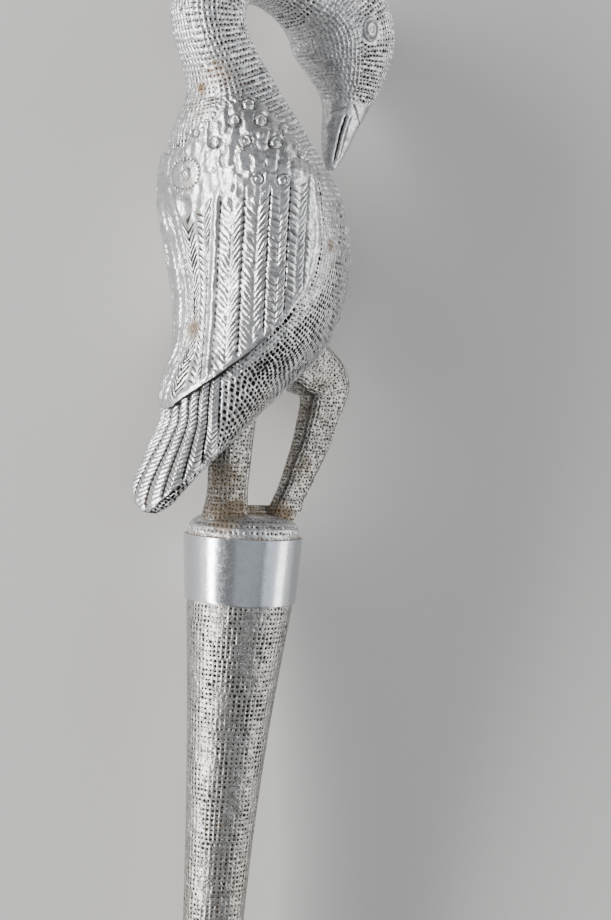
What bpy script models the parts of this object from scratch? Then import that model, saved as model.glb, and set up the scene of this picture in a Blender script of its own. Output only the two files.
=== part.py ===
"""A ceremonial staff: a long-necked bird on a domed pedestal, a smooth collar and a tapered shaft.

The staff is drawn upright, with points as (forward, to the bird's right, up), and then laid down on its
left side, on the three points that carry it: the wing, the cheek and the foot of the shaft.
"""

import math
from collections import namedtuple

import bmesh
import bpy
import numpy as np
from mathutils import Matrix, Vector

# Driving sizes, in metres
BIRD_HEIGHT = 0.250
COLLAR_HEIGHT = 0.0277
COLLAR_TOP_DIAMETER = 0.0504
COLLAR_BOTTOM_DIAMETER = 0.0470
COLLAR_WALL = 0.0014
COLLAR_LIP = 0.0005
SHAFT_LENGTH = 0.720
SHAFT_HEAD_DIAMETER = 0.0446
SHAFT_WAIST_DIAMETER = 0.0208
SHAFT_FOOT_DIAMETER = 0.0184
SHAFT_FOOT_ROUNDING = 0.0020
FLARE_LENGTH = 0.094
FLARE_POWER = 1.15
FLARE_LEAN = 0.5
FLARE_REACH = 2.6
FLARE_STEPS = 8
FLARE_CROWDING = 1.2
SEAT_DEPTH = 0.008
FIT_GAP = 0.0003

# The bird is drawn on a grid of squares, GRID_SQUARES of them to its height
GRID_SQUARES = 250
SQUARE = BIRD_HEIGHT / GRID_SQUARES

# Carving of the bird, in grid squares
STROKE_PITCH = 2.7
STROKE_DEPTH = 0.38
FEATHER_RIDGE = 0.45
FEATHER_VALLEY = 0.45
COVERT_TOP = 180
COVERT_BOTTOM = 141
COVERT_ROWS = 4
WING_TIP = 50
FAR_WING_TOP = 157
STROKE_DROP = {"back": 4.5, "slope": 2.25, "spine": 4.0, "fore": 2.0}
SLAB_DEPTH = 2.6
TAIL_STROKE_PITCH = 2.5
TAIL_STROKE_DEPTH = 0.26
TAIL_RAISE = 0.9
TAIL_STRIPS = 4
TAIL_TOP = 67
TAIL_FOOT = 10.5
TAIL_HEM = 1.2
MOUTH_DEPTH = 0.75
THICK_BEAK = 6  # a thinner beak has a shallower mouth line
ROSETTE_ACROSS = -29.0
ROSETTE_UP = 146
EYE_FORWARD = 38.5
EYE_SIDE = 18.6
EYE_UP = 215.5
FOOT_ASIDE = 6.5
ANKLE_UP = 9
KNEE_UP = 62

BIRD_SEGMENTS = 24
TURNED_SEGMENTS = 32
LEG_SEGMENTS = 16
ROSETTE_SEGMENTS = 16
EYE_SEGMENTS = 12
MOUTH_CORNER = 4  # counted round the beak from the breast side

# How square the legs are: 2 is round
ROUND_LEG = 3
SQUARE_LEG = 4

# How often a place is sought again before it is taken as found
NEAR_ENOUGH = 20

# The wings are laid out as seen from between the bird's side and its back
QUARTER = math.radians(40)

# One rib of the bird: its centre, the lean of its plane, half its depth from breast to back, half its
# width, how square it is, how far the breast is drawn to a keel, and its shift to the bird's right
Rib = namedtuple("Rib", "up forward lean depth width square keel side", defaults=(0, 0))

RIBS = (
    Rib(9.3, -48.1, 0, 1.2, 4.4, 2.4, 0.20),
    Rib(12.0, -46.9, 0, 3.1, 9.6, 2.5, 0.25),
    Rib(18.0, -43.5, 0, 5.5, 13.6, 2.5, 0.30),
    Rib(27.0, -36.8, 0, 8.5, 15.7, 2.5, 0.30),
    Rib(36.7, -28.6, 0, 11.7, 17.6, 2.5, 0.30),
    Rib(46.4, -20.6, 0, 15.5, 19.1, 2.4, 0.30),
    Rib(54.6, -15.2, 0, 20.8, 22.0, 2.2, 0.30),
    Rib(64.0, -8.7, 0, 25.6, 24.5, 2.1, 0.30),
    Rib(75.0, -0.2, 0, 30.2, 28.1, 2, 0.32),
    Rib(87.0, 5.1, 0, 34.4, 31.3, 2, 0.35),
    Rib(99.0, 7.1, 0, 36.9, 33.5, 2, 0.38),
    Rib(111.0, 7.2, 0, 39.1, 35.6, 2, 0.40),
    Rib(123.4, 5.6, 0, 40.5, 36.8, 2, 0.42),
    Rib(136.0, 2.4, 0, 40.5, 36.9, 2, 0.45),
    Rib(147.7, -0.8, 0, 38.5, 35.0, 2, 0.46),
    Rib(154.0, -3.4, 0, 35.9, 32.4, 2, 0.45),
    Rib(160.0, -6.0, 0, 32.9, 30.1, 2, 0.42),
    Rib(166.0, -8.9, 0, 29.9, 26.9, 2, 0.36),
    Rib(172.0, -11.7, 0, 25.8, 23.7, 2.1, 0.25),
    Rib(178.0, -14.6, 0, 21.0, 19.9, 2.3, 0.12),
    Rib(184.0, -17.9, 0, 17.9, 17.2, 2.7, 0.04),
    Rib(189.5, -21.6, 0, 16.2, 15.7, 2.9),
    Rib(195.0, -25.5, 0, 15.2, 14.8, 3),
    Rib(200.5, -28.9, 0, 14.4, 14.0, 3),
    Rib(206.0, -31.3, 0, 13.9, 13.5, 3),
    Rib(212.0, -32.6, 0, 13.9, 13.5, 3),
    Rib(218.4, -31.6, 10, 14.0, 13.5, 3),
    Rib(226.0, -27.6, 35, 14.2, 13.7, 3),
    Rib(232.4, -17.0, 63, 14.3, 13.9, 3),
    Rib(234.8, -4.0, 88, 14.6, 14.3, 2.9),
    Rib(233.2, 9.5, 105, 16.0, 15.2, 2.7),
    Rib(229.4, 22.5, 121, 19.0, 16.8, 2.5),
    Rib(223.6, 33.5, 138, 22.6, 18.4, 2.4),
    Rib(214.5, 39.6, 156, 23.6, 19.0, 2.3),
    Rib(204.5, 41.4, 172, 20.8, 17.2, 2.3, 0, 0.3),
    Rib(197.0, 42.2, 178, 16.9, 14.2, 2.2, 0, 0.8),
    Rib(191.0, 42.8, 180, 13.5, 11.4, 2.2, 0, 1.3),
    Rib(185.5, 41.9, 180, 10.9, 9.2, 2.2, 0, 1.8),
    Rib(179.0, 39.8, 180, 9.0, 7.6, 2.2, 0, 2.4),
    Rib(172.0, 37.2, 180, 7.2, 6.2, 2.2, 0, 3.1),
    Rib(166.0, 35.4, 180, 5.6, 5.0, 2.1, 0, 3.8),
    Rib(161.0, 33.9, 180, 3.9, 3.7, 2, 0, 4.4),
    Rib(157.6, 32.9, 180, 2.3, 2.3, 2, 0, 4.8),
)
FIRST_BEAK_UP = 189  # the mouth line starts here, on the ribs that lean over

# Points across the right wing, from the back to the front edge: borders and spines of the feathers
WING_BORDERS = (-17.8, -14.3, -4.8, 4.7, 12.0, 18.7)
WING_LOWER_EDGE = ((-45, 50.5), (-32, 51.5), (-21, 58.5), (-12, 65.3), (-3, 73.3), (4, 80.6),
                   (12, 89.5), (18.5, 99.5), (22, 108), (24.4, 121))
WING_UPPER_EDGE = ((-45, 152), (-40, 155.5), (-31, 162.5), (-21, 168.5), (-16, 177), (-7, 178), (0, 173.5),
                   (6, 168.5), (12, 161.5), (20, 152), (22.5, 138), (24.4, 121))
WING_FRONT_EDGE = ((99.5, 18.9), (108, 22), (121, 24.4), (138, 22.5), (152, 20))  # up, across
FEATHER_TOP = ((-30, 132), (-18, 139), (-5, 141), (5, 143), (12, 146), (20, 149))
WING_RISE = ((52, 2.1), (90, 1.7), (125, 1.5), (150, 1.1), (178, 0.8))
TAIL_BORDER = -11.5
TAIL_CUT = ((-48, -1.8), (-11.5, 34.9))

# The pedestal's dome, as (share of its radius, up)
DOME = ((1.0, 1.6), (0.985, 3.6), (0.94, 5.6), (0.86, 7.2), (0.70, 8.4), (0.45, 9.1), (0.2, 9.4))

# Round bosses, as (radius, rise)
ROSETTE_STEPS = ((5.8, -3.0), (5.8, 0.3), (5.2, 0.8), (4.4, 0.2), (2.4, 0.2), (1.8, 0.8), (1.0, 0.2))
EYE_STEPS = ((4.2, -3.0), (4.2, 0.3), (3.6, 0.8), (3.1, 0.2), (2.3, 0.2), (1.7, 0.8), (0.6, 0.9))


def material(name, colour, roughness, metallic=1.0):
    """A plain metal finish with the colour of the real one."""
    made = bpy.data.materials.new(name)
    made.use_nodes = True
    shader = made.node_tree.nodes["Principled BSDF"]
    shader.inputs["Base Color"].default_value = (*colour, 1)
    shader.inputs["Roughness"].default_value = roughness
    shader.inputs["Metallic"].default_value = metallic
    return made


def punched_silver():
    return material("punched_silver", (0.62, 0.62, 0.62), 0.42)


def polished_silver():
    return material("polished_silver", (0.70, 0.71, 0.73), 0.24)


def new_object(name, points, faces, finish=None):
    """An object from points in metres, as (forward, right, up), and faces by index, turned outwards."""
    mesh = bpy.data.meshes.new(name)
    mesh.from_pydata([(forward, -right, up) for forward, right, up in points], [], [tuple(f) for f in faces])
    work = bmesh.new()
    work.from_mesh(mesh)
    bmesh.ops.recalc_face_normals(work, faces=work.faces)
    work.to_mesh(mesh)
    work.free()
    made = bpy.data.objects.new(name, mesh)
    bpy.context.scene.collection.objects.link(made)
    if finish:
        mesh.materials.append(finish)
    return made


def loft(rings, closed_ends=True):
    """Points and faces of a skin over rings of equal length, with a cap on each end."""
    count = len(rings[0])
    points = [p for ring in rings for p in ring]
    faces = []
    for i in range(len(rings) - 1):
        for j in range(count):
            k = (j + 1) % count
            faces.append((i * count + j, i * count + k, (i + 1) * count + k, (i + 1) * count + j))
    if closed_ends:
        for start in (0, len(points) - count):
            middle = np.mean(points[start:start + count], axis=0)
            points.append(middle)
            faces += [(start + j, start + (j + 1) % count, len(points) - 1) for j in range(count)]
    return points, faces


def power(value, exponent):
    """A power that keeps the sign of its value."""
    return math.copysign(abs(value) ** exponent, value)


def section(rib, turn):
    """Where a rib's outline is at an angle, from its breast side, in depth and width."""
    near = power(math.cos(turn), 2 / rib.square) * rib.depth
    wide = power(math.sin(turn), 2 / rib.square) * rib.width
    return near, wide * (1 - rib.keel * math.cos(turn))


def rib_point(rib, turn, raise_by=0.0):
    """A point of the skin, in grid squares: forward, to the right, up."""
    near, wide = section(rib, turn)
    if raise_by:
        step = 0.01
        ahead, behind = section(rib, turn + step), section(rib, turn - step)
        along = np.array([ahead[0] - behind[0], ahead[1] - behind[1]])
        along /= np.linalg.norm(along)
        near += along[1] * raise_by
        wide -= along[0] * raise_by
    lean = math.radians(rib.lean)
    return np.array([rib.forward + near * math.cos(lean), rib.side + wide, rib.up - near * math.sin(lean)])


def rib_at(up):
    """The level rib of the body or the lower neck at a height, between the ribs that are drawn."""
    level = [rib for rib in RIBS if rib.lean == 0]
    i = max(k for k in range(len(level) - 1) if level[k].up <= up or k == 0)
    before, here, there, after = (level[min(max(k, 0), len(level) - 1)] for k in (i - 1, i, i + 1, i + 2))
    share = min(max((up - here.up) / (there.up - here.up), 0), 1)
    values = []
    for a, b, c, d in zip(before, here, there, after):
        values.append(b + 0.5 * share * (c - a + share * (2 * a - 5 * b + 4 * c - d + share * (3 * (b - c) + d - a))))
    return Rib(*values)._replace(up=up)


def bird_skin():
    """The body, tail, neck, head and beak as one skin."""
    rings = []
    for rib in RIBS:
        ring = []
        for j in range(BIRD_SEGMENTS):
            turn = 2 * math.pi * j / BIRD_SEGMENTS
            beak = rib.lean > 175 and rib.up < FIRST_BEAK_UP
            mouth = beak and j in (MOUTH_CORNER, BIRD_SEGMENTS - MOUTH_CORNER)
            cut = MOUTH_DEPTH * min(1, rib.depth / THICK_BEAK) if mouth else 0
            ring.append(rib_point(rib, turn, -cut) * SQUARE)
        rings.append(ring)
    return new_object("bird", *loft(rings), punched_silver())


def along(curve, across):
    """The height of a curve given by a few points, at a place across it."""
    return float(np.interp(across, [p[0] for p in curve], [p[1] for p in curve]))


def quarter_turn(rib, across):
    """The angle on a rib whose point lies at a place across the quarter view, on the side in sight."""
    low, high = math.pi / 4, math.pi
    for _ in range(NEAR_ENOUGH):
        middle = (low + high) / 2
        near, wide = section(rib, middle)
        if (rib.forward + near) * math.cos(QUARTER) + wide * math.sin(QUARTER) > across:
            low = middle
        else:
            high = middle
    return (low + high) / 2


def back_line(up):
    """Where the middle of the back lies across the quarter view."""
    rib = rib_at(up)
    return (rib.forward - rib.depth) * math.cos(QUARTER)


class Slab:
    """A carved skin that lies on the body, the same on both sides of the back, sunk into it below."""

    def __init__(self):
        self.outer, self.inner, self.index, self.faces = [], [], {}, []

    def point(self, across, up, raise_by, side):
        """The index of a point; points that fall together are one."""
        rib = rib_at(up)
        turn = quarter_turn(rib, across)
        if across <= back_line(up) + 1e-6:
            turn = math.pi
        key = (round(turn * side, 4) if turn < math.pi else math.pi, round(up, 3))
        if key not in self.index:
            self.index[key] = len(self.outer)
            flip = np.array([1, side, 1])
            self.outer.append(rib_point(rib, turn, raise_by) * flip * SQUARE)
            self.inner.append(rib_point(rib, turn, -SLAB_DEPTH) * flip * SQUARE)
        return self.index[key]

    def patch(self, rows):
        """Faces between rows of indices, without those that shrink to a line."""
        for upper, lower in zip(rows, rows[1:]):
            for a, b, c, d in zip(upper, upper[1:], lower[1:], lower):
                loop = [k for n, k in enumerate((a, b, c, d)) if k not in (a, b, c, d)[:n]]
                if len(loop) > 2:
                    self.faces.append(loop)

    def build(self, name):
        """The slab as a closed object."""
        count = len(self.outer)
        edges = {}
        for face in self.faces:
            for a, b in zip(face, face[1:] + face[:1]):
                edges[(a, b)] = edges.get((a, b), 0) + 1
        rim = [edge for edge in edges if (edge[1], edge[0]) not in edges]
        faces = list(self.faces)
        faces += [tuple(k + count for k in reversed(face)) for face in self.faces]
        faces += [(b, a, a + count, b + count) for a, b in rim]
        return new_object(name, self.outer + self.inner, faces)


def wing_columns():
    """Places across the wing with their kind: along the back, then the borders and spines of the feathers."""
    columns = [(None, "back"), (None, "slope"), (WING_BORDERS[0], "border"), (WING_BORDERS[1], "border")]
    for left, right in zip(WING_BORDERS[1:], WING_BORDERS[2:]):
        columns += [((left + right) / 2, "spine"), (right, "border")]
    return columns + [(None, "fore"), (None, "edge")]


def wing_rise(up):
    """How far the wing stands off the body: more towards its tip."""
    return float(np.interp(up, [p[0] for p in WING_RISE], [p[1] for p in WING_RISE]))


def front_edge(up):
    """Where the wing's front edge lies across the quarter view."""
    return float(np.interp(up, [p[0] for p in WING_FRONT_EDGE], [p[1] for p in WING_FRONT_EDGE]))


def wing_place(across, kind, up):
    """Where a column of the wing lies: those along the back or the front edge follow it."""
    if kind == "back":
        return back_line(up)
    if kind == "slope":
        return (back_line(up) + WING_BORDERS[0]) / 2
    if kind == "fore":
        return (front_edge(up) + WING_BORDERS[-1]) / 2
    if kind == "edge":
        return front_edge(up)
    return across


def wing_span(across, kind):
    """Where a column of the wing ends below and above, on the wing's edges."""
    if kind in ("fore", "edge"):
        return WING_FRONT_EDGE[0][0], WING_FRONT_EDGE[-1][0]
    bottom, top = WING_TIP, COVERT_TOP
    for _ in range(NEAR_ENOUGH):
        bottom = along(WING_LOWER_EDGE, wing_place(across, kind, bottom))
        top = along(WING_UPPER_EDGE, wing_place(across, kind, top))
    return bottom, top


def wing_relief(kind, crest, room):
    """How far the carving stands off the wing: ridges on the spines, valleys between, strokes across."""
    ridge, valley = ("spine", "fore"), ("border", "back")
    height = FEATHER_RIDGE * (kind in ridge) - FEATHER_VALLEY * (kind in valley)
    if not crest and kind != "edge":
        height -= STROKE_DEPTH
    return height * min(max(room / STROKE_PITCH, 0), 1)


def wing_levels(across, kind, side):
    """The heights of a column's points, with whether each is carved: plain coverts, then strokes.

    The left wing starts lower than the right one.
    """
    bottom, top = wing_span(across, kind)
    if side < 0 and kind != "back":
        top = min(top, FAR_WING_TOP)
    first = min(along(FEATHER_TOP, wing_place(across, kind, COVERT_BOTTOM)), top)
    levels = [(up, False) for up in np.linspace(top, first, COVERT_ROWS, endpoint=False)]
    strokes = math.ceil(2 * (COVERT_TOP - WING_TIP) / STROKE_PITCH)
    for k in range(strokes):
        up = first - STROKE_DROP.get(kind, 0) - k * STROKE_PITCH / 2
        levels.append((max(up, bottom), True))
    return levels, bottom, top


def wings():
    """Both folded wings: smooth coverts above, long feathers with slanting strokes below."""
    slab = Slab()
    for side in (1, -1):
        columns = [(across, kind, *wing_levels(across, kind, side)) for across, kind in wing_columns()]
        rows = []
        for number in range(len(columns[0][2])):
            row = []
            for across, kind, levels, bottom, top in columns:
                up, carved = levels[number]
                relief = wing_relief(kind, number % 2 == 0, min(up - bottom, top - up)) if carved else 0
                row.append(slab.point(wing_place(across, kind, up), up, wing_rise(up) + relief, side))
            rows.append(row[::side])
        slab.patch(rows)
    return slab.build("wings_on_body")


def tail_place(share, up):
    """Where a feather's border lies across the quarter view, by its share from the back to the side."""
    back = back_line(up)
    return back + share * (TAIL_BORDER - back)


def tail_foot(share):
    """How far down a feather of the tail runs before the slanting underside cuts it."""
    (left, low), (right, high) = TAIL_CUT
    for up in np.arange(TAIL_TOP, TAIL_FOOT, -0.25):
        across = tail_place(share, up)
        if up < low + (across - left) / (right - left) * (high - low) + TAIL_HEM:
            return up
    return TAIL_FOOT


def tail():
    """The fan of ribbed feathers on the back of the tail."""
    slab = Slab()
    shares = [k / (2 * TAIL_STRIPS) for k in range(2 * TAIL_STRIPS + 1)]
    feet = [tail_foot(share) for share in shares]
    levels = np.arange(TAIL_TOP, TAIL_FOOT - TAIL_STROKE_PITCH, -TAIL_STROKE_PITCH / 2)
    for side in (1, -1):
        rows = []
        for number, level in enumerate(levels):
            row = []
            for k, share in enumerate(shares):
                spine = k % 2 == 1
                at = max(level - (TAIL_STROKE_PITCH if spine else 0), feet[k])
                relief = FEATHER_RIDGE if spine else -FEATHER_VALLEY
                relief -= TAIL_STROKE_DEPTH * (number % 2)
                relief *= min((at - feet[k]) / TAIL_STROKE_PITCH, 1)
                row.append(slab.point(tail_place(share, at), at, TAIL_RAISE + relief, side))
            rows.append(row[::side])
        slab.patch(rows)
    return slab.build("feathers_on_tail")


def bar(name, stations, corner, segments=LEG_SEGMENTS):
    """A leg: a bar with rounded corners through stations of (forward, side, up, lean, depth, width)."""
    rings = []
    for forward, side, up, lean, depth, width in stations:
        rib = Rib(up, forward, lean, depth, width, corner, 0, side)
        rings.append([rib_point(rib, 2 * math.pi * j / segments) * SQUARE for j in range(segments)])
    return new_object(name, *loft(rings))


def straight_leg():
    """The thick leg that the bird stands on."""
    return bar("straight_leg", (
        (-10.4, 0.6, 4.0, 0, 10.2, 8.4),
        (-10.4, 0.6, 9.5, 0, 9.4, 7.6),
        (-10.2, 0.6, 14.0, 0, 8.6, 6.9),
        (-9.8, 0.6, 30.0, 0, 8.6, 6.9),
        (-8.8, 0.6, 62.0, 0, 10.0, 8.4)), ROUND_LEG)


def bent_leg():
    """The leg with the knee: its foot is set to the bird's right and back, so that it stands on the dome."""
    stations = []
    for forward, up, lean, depth, width in (
            (20.0, 2.0, 0, 7.4, 4.8),
            (21.0, 9.0, 0, 7.6, 4.6),
            (22.9, 14.0, 0, 7.3, 3.9),
            (26.0, 20.0, 0, 7.4, 3.9),
            (29.7, 28.0, 0, 7.8, 4.3),
            (34.6, 40.0, 0, 8.6, 5.1),
            (37.9, 51.0, 0, 9.1, 5.9),
            (39.7, 57.5, 0, 9.8, 6.5),
            (40.2, 62.5, -14, 11.2, 6.9),
            (37.2, 67.0, -36, 12.0, 7.8),
            (29.5, 71.5, -52, 12.4, 9.6),
            (18.0, 78.5, -58, 12.8, 11.6)):
        aside = FOOT_ASIDE * min(max((KNEE_UP - up) / (KNEE_UP - ANKLE_UP), 0), 1)
        stations.append((forward - aside * math.tan(QUARTER), aside, up, lean, depth, width))
    return bar("bent_leg", stations, SQUARE_LEG)


def web():
    """The low web that joins the two feet."""
    return bar("web", (
        (4.5, 1.8, 4.0, 0, 11.0, 3.6),
        (4.5, 1.8, 10.5, 0, 10.0, 3.2),
        (4.5, 1.8, 12.8, 0, 8.0, 1.8)), ROUND_LEG)


def turned(profile, centre=lambda up: 0.0, segments=TURNED_SEGMENTS):
    """Rings around the staff's axis, shifted forward where the centre line leans."""
    rings = []
    for radius, up in profile:
        rings.append([np.array([centre(up) + radius * math.cos(2 * math.pi * j / segments),
                                radius * math.sin(2 * math.pi * j / segments), up]) for j in range(segments)])
    return rings


def collar_radius(up):
    """The collar's outer radius at a height below its top edge, which is the height nought."""
    share = -up / COLLAR_HEIGHT
    return (COLLAR_TOP_DIAMETER + (COLLAR_BOTTOM_DIAMETER - COLLAR_TOP_DIAMETER) * share) / 2


def seat_radius(up):
    """What fits inside the collar."""
    return collar_radius(up) - COLLAR_WALL - FIT_GAP


def pedestal():
    """The domed round pedestal, with its foot inside the collar."""
    profile = [(seat_radius(-SEAT_DEPTH), -SEAT_DEPTH), (seat_radius(0), 0)]
    profile += [(seat_radius(0) * share, up * SQUARE) for share, up in DOME]
    return new_object("pedestal", *loft(turned(profile)))


def disc(name, middle, outward, steps, segments):
    """A round boss on the skin, turned through steps of (radius, rise), in grid squares."""
    aside = np.cross(outward, (0, 0, 1))
    aside /= np.linalg.norm(aside)
    upward = np.cross(aside, outward)
    angles = 2 * math.pi * np.arange(segments) / segments
    rings = [[(middle + outward * rise + radius * (aside * math.cos(a) + upward * math.sin(a))) * SQUARE
              for a in angles] for radius, rise in steps]
    return new_object(name, *loft(rings))


def rosette():
    """The beaded ring on the middle of the back, with its smaller ring inside."""
    rib = rib_at(ROSETTE_UP)
    turn = quarter_turn(rib, ROSETTE_ACROSS)
    middle = rib_point(rib, turn)
    outward = rib_point(rib, turn, 1.0) - middle
    steps = [(radius, rise + wing_rise(ROSETTE_UP)) for radius, rise in ROSETTE_STEPS]
    return disc("rosette", middle, outward, steps, ROSETTE_SEGMENTS)


def eyes():
    """A raised ring with a smaller disc around each eye."""
    made = []
    for side in (1, -1):
        middle = np.array([EYE_FORWARD, side * EYE_SIDE, EYE_UP])
        made.append(disc("eye", middle, np.array([0.0, side, 0.0]), EYE_STEPS, EYE_SEGMENTS))
    return made


def unite(base, pieces):
    """One body from several that overlap."""
    for piece in pieces:
        union = base.modifiers.new(piece.name, "BOOLEAN")
        union.operation = "UNION"
        union.solver = "EXACT"
        union.object = piece
        piece.hide_render = True
        piece.display_type = "WIRE"
        piece.parent = base


def bird():
    """The whole bird with its pedestal, one piece."""
    body = bird_skin()
    unite(body, [wings(), tail(), straight_leg(), bent_leg(), web(), pedestal(), rosette(), *eyes()])
    return body


def collar():
    """The smooth band: a sleeve with a small rounded lip at each end."""
    outside = [(collar_radius(0) - COLLAR_LIP, 0), (collar_radius(0), -COLLAR_LIP)]
    outside += [(collar_radius(-COLLAR_HEIGHT + COLLAR_LIP), -COLLAR_HEIGHT + COLLAR_LIP),
                (collar_radius(-COLLAR_HEIGHT) - COLLAR_LIP, -COLLAR_HEIGHT)]
    inside = [(collar_radius(up) - COLLAR_WALL, up) for up in (-COLLAR_HEIGHT, 0)]
    rings = turned(outside + inside)
    points, faces = loft(rings + rings[:1], closed_ends=False)
    last = len(points) - TURNED_SEGMENTS
    faces = [tuple(k - last if k >= last else k for k in face) for face in faces]
    made = new_object("collar", points[:last], faces, polished_silver())
    return made


def shaft_radius(up):
    """The shaft's radius: a flare under the collar that dies away, and a slow taper to the foot."""
    down = -up - COLLAR_HEIGHT
    straight = (SHAFT_WAIST_DIAMETER + (SHAFT_FOOT_DIAMETER - SHAFT_WAIST_DIAMETER) * down / SHAFT_LENGTH) / 2
    flare = math.exp(-((down / FLARE_LENGTH) ** FLARE_POWER)) if down > 0 else 1
    return straight + (SHAFT_HEAD_DIAMETER - SHAFT_WAIST_DIAMETER) / 2 * flare


def shaft_centre(up):
    """The flare grows mostly towards the front, so the centre line leans back below the collar."""
    if up > -COLLAR_HEIGHT:
        return 0.0
    return -FLARE_LEAN * (shaft_radius(-COLLAR_HEIGHT) - shaft_radius(up))


def shaft():
    """The tapered shaft, with its head inside the collar and a small flat foot."""
    foot = -COLLAR_HEIGHT - SHAFT_LENGTH
    profile = [(seat_radius(-SEAT_DEPTH - FIT_GAP), -SEAT_DEPTH - FIT_GAP),
               (seat_radius(-COLLAR_HEIGHT), -COLLAR_HEIGHT - FIT_GAP / 2)]
    for k in range(FLARE_STEPS + 1):
        up = -COLLAR_HEIGHT - FIT_GAP - FLARE_REACH * FLARE_LENGTH * (k / FLARE_STEPS) ** FLARE_CROWDING
        profile.append((shaft_radius(up), up))
    for share in (0.5, 1.0):
        start = profile[-1][1]
        up = start + (foot + SHAFT_FOOT_ROUNDING - start) * share
        profile.append((shaft_radius(up), up))
    for angle in (45, 90):
        turn = math.radians(angle)
        radius = shaft_radius(foot) - SHAFT_FOOT_ROUNDING * (1 - math.cos(turn))
        profile.append((radius, foot + SHAFT_FOOT_ROUNDING * (1 - math.sin(turn))))
    return new_object("shaft", *loft(turned(profile, shaft_centre)), punched_silver())


def smooth(made, degrees):
    """Round surfaces shade smoothly up to this bend."""
    made.data.shade_smooth()
    made.data.set_sharp_from_angle(angle=math.radians(degrees))


def world_mesh(made):
    """The points and triangles of an object with its unions made."""
    graph = bpy.context.evaluated_depsgraph_get()
    evaluated = made.evaluated_get(graph)
    mesh = evaluated.to_mesh()
    mesh.calc_loop_triangles()
    points = np.array([made.matrix_world @ v.co for v in mesh.vertices])
    corners = np.array([t.vertices for t in mesh.loop_triangles])
    evaluated.to_mesh_clear()
    return points, corners


def resting_plane(points, middle):
    """The outward normal of the flat of the hull that the staff lies on, left side down."""
    work = bmesh.new()
    for p in points:
        work.verts.new(p)
    bmesh.ops.convex_hull(work, input=work.verts)
    best, found = -2.0, Vector((0, 1, 0))
    for face in work.faces:
        normal = face.normal
        foot = middle - normal * (middle - face.verts[0].co).dot(normal)
        corners = [v.co for v in face.verts]
        sides = [(b - a).cross(foot - a).dot(normal) for a, b in zip(corners, corners[1:] + corners[:1])]
        if normal.y > best and face.calc_area() > 1e-5 and min(sides) >= 0:
            best, found = normal.y, normal.copy()
    work.free()
    return found


def lay_down(pieces):
    """Lays the upright staff on its left side, head towards +Y, centred over the origin."""
    bpy.context.view_layer.update()
    clouds, moment, volume = [], Vector(), 0.0
    for piece in pieces:
        points, corners = world_mesh(piece)
        clouds.append(points)
        a, b, c = (points[corners[:, k]] for k in range(3))
        parts = np.einsum("ij,ij->i", a, np.cross(b, c)) / 6
        volume += parts.sum()
        moment += Vector((parts[:, None] * (a + b + c) / 4).sum(axis=0))
    points = np.concatenate(clouds)
    down = resting_plane(points, moment / volume)
    up_staff = Vector((0, 0, 1))
    z_axis = -down
    y_axis = (up_staff - z_axis * up_staff.dot(z_axis)).normalized()
    x_axis = y_axis.cross(z_axis)
    turn = Matrix((x_axis, y_axis, z_axis))
    laid = points @ np.array(turn).T
    low, high = laid.min(axis=0), laid.max(axis=0)
    shift = Vector((-(low[0] + high[0]) / 2, -(low[1] + high[1]) / 2, -low[2]))
    frame = bpy.data.objects.new("lying_down", None)
    bpy.context.scene.collection.objects.link(frame)
    frame.matrix_world = Matrix.Translation(shift) @ turn.to_4x4()
    for piece in pieces:
        piece.parent = frame


def main():
    for old in list(bpy.data.objects):
        bpy.data.objects.remove(old)
    pieces = [bird(), collar(), shaft()]
    smooth(pieces[0], 35)
    smooth(pieces[1], 30)
    smooth(pieces[2], 40)
    lay_down(pieces)


main()
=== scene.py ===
"""The looks of a ceremonial staff: a bird under beaten silver sheet, a polished collar and a punched shaft.

Everything is worked out in the staff's own axes (forward, to the bird's right, up from the collar's top
edge, in millimetres) and then laid down on the floor as the solid part lies.
"""

import logging
import math
from dataclasses import dataclass, field, replace
from enum import Enum
from typing import Callable, Optional, Sequence, Union

import bpy
import numpy as np
from mathutils import Matrix, Vector


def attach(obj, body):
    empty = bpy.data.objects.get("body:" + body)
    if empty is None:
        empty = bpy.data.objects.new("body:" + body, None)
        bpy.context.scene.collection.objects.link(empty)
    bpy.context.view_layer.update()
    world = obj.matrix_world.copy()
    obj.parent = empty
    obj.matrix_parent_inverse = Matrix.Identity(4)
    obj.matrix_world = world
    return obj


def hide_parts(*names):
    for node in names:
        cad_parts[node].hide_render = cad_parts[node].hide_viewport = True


log = logging.getLogger("staff")

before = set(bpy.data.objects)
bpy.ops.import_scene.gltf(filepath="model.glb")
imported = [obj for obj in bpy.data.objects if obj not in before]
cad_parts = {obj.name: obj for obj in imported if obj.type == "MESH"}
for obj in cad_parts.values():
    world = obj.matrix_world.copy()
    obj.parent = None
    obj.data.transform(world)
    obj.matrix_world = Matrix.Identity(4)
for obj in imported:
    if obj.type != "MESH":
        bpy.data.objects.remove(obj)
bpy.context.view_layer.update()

# The bends, in degrees, above which edges shade sharp: round punched dots, on the band and in the carving
CRISP, BAND_CRISP, CARVED_CRISP = 32.0, 40.0, 60.0

# A triangle is left out when the cross product of its sides, in square millimetres, is shorter than this
SLIVER = 1e-7

Array = np.ndarray
Number = Union[int, float]
Curve = tuple[tuple[float, float], ...]
Colour = tuple[float, float, float]
Spot = tuple[tuple[float, float, float], float, float]

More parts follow.
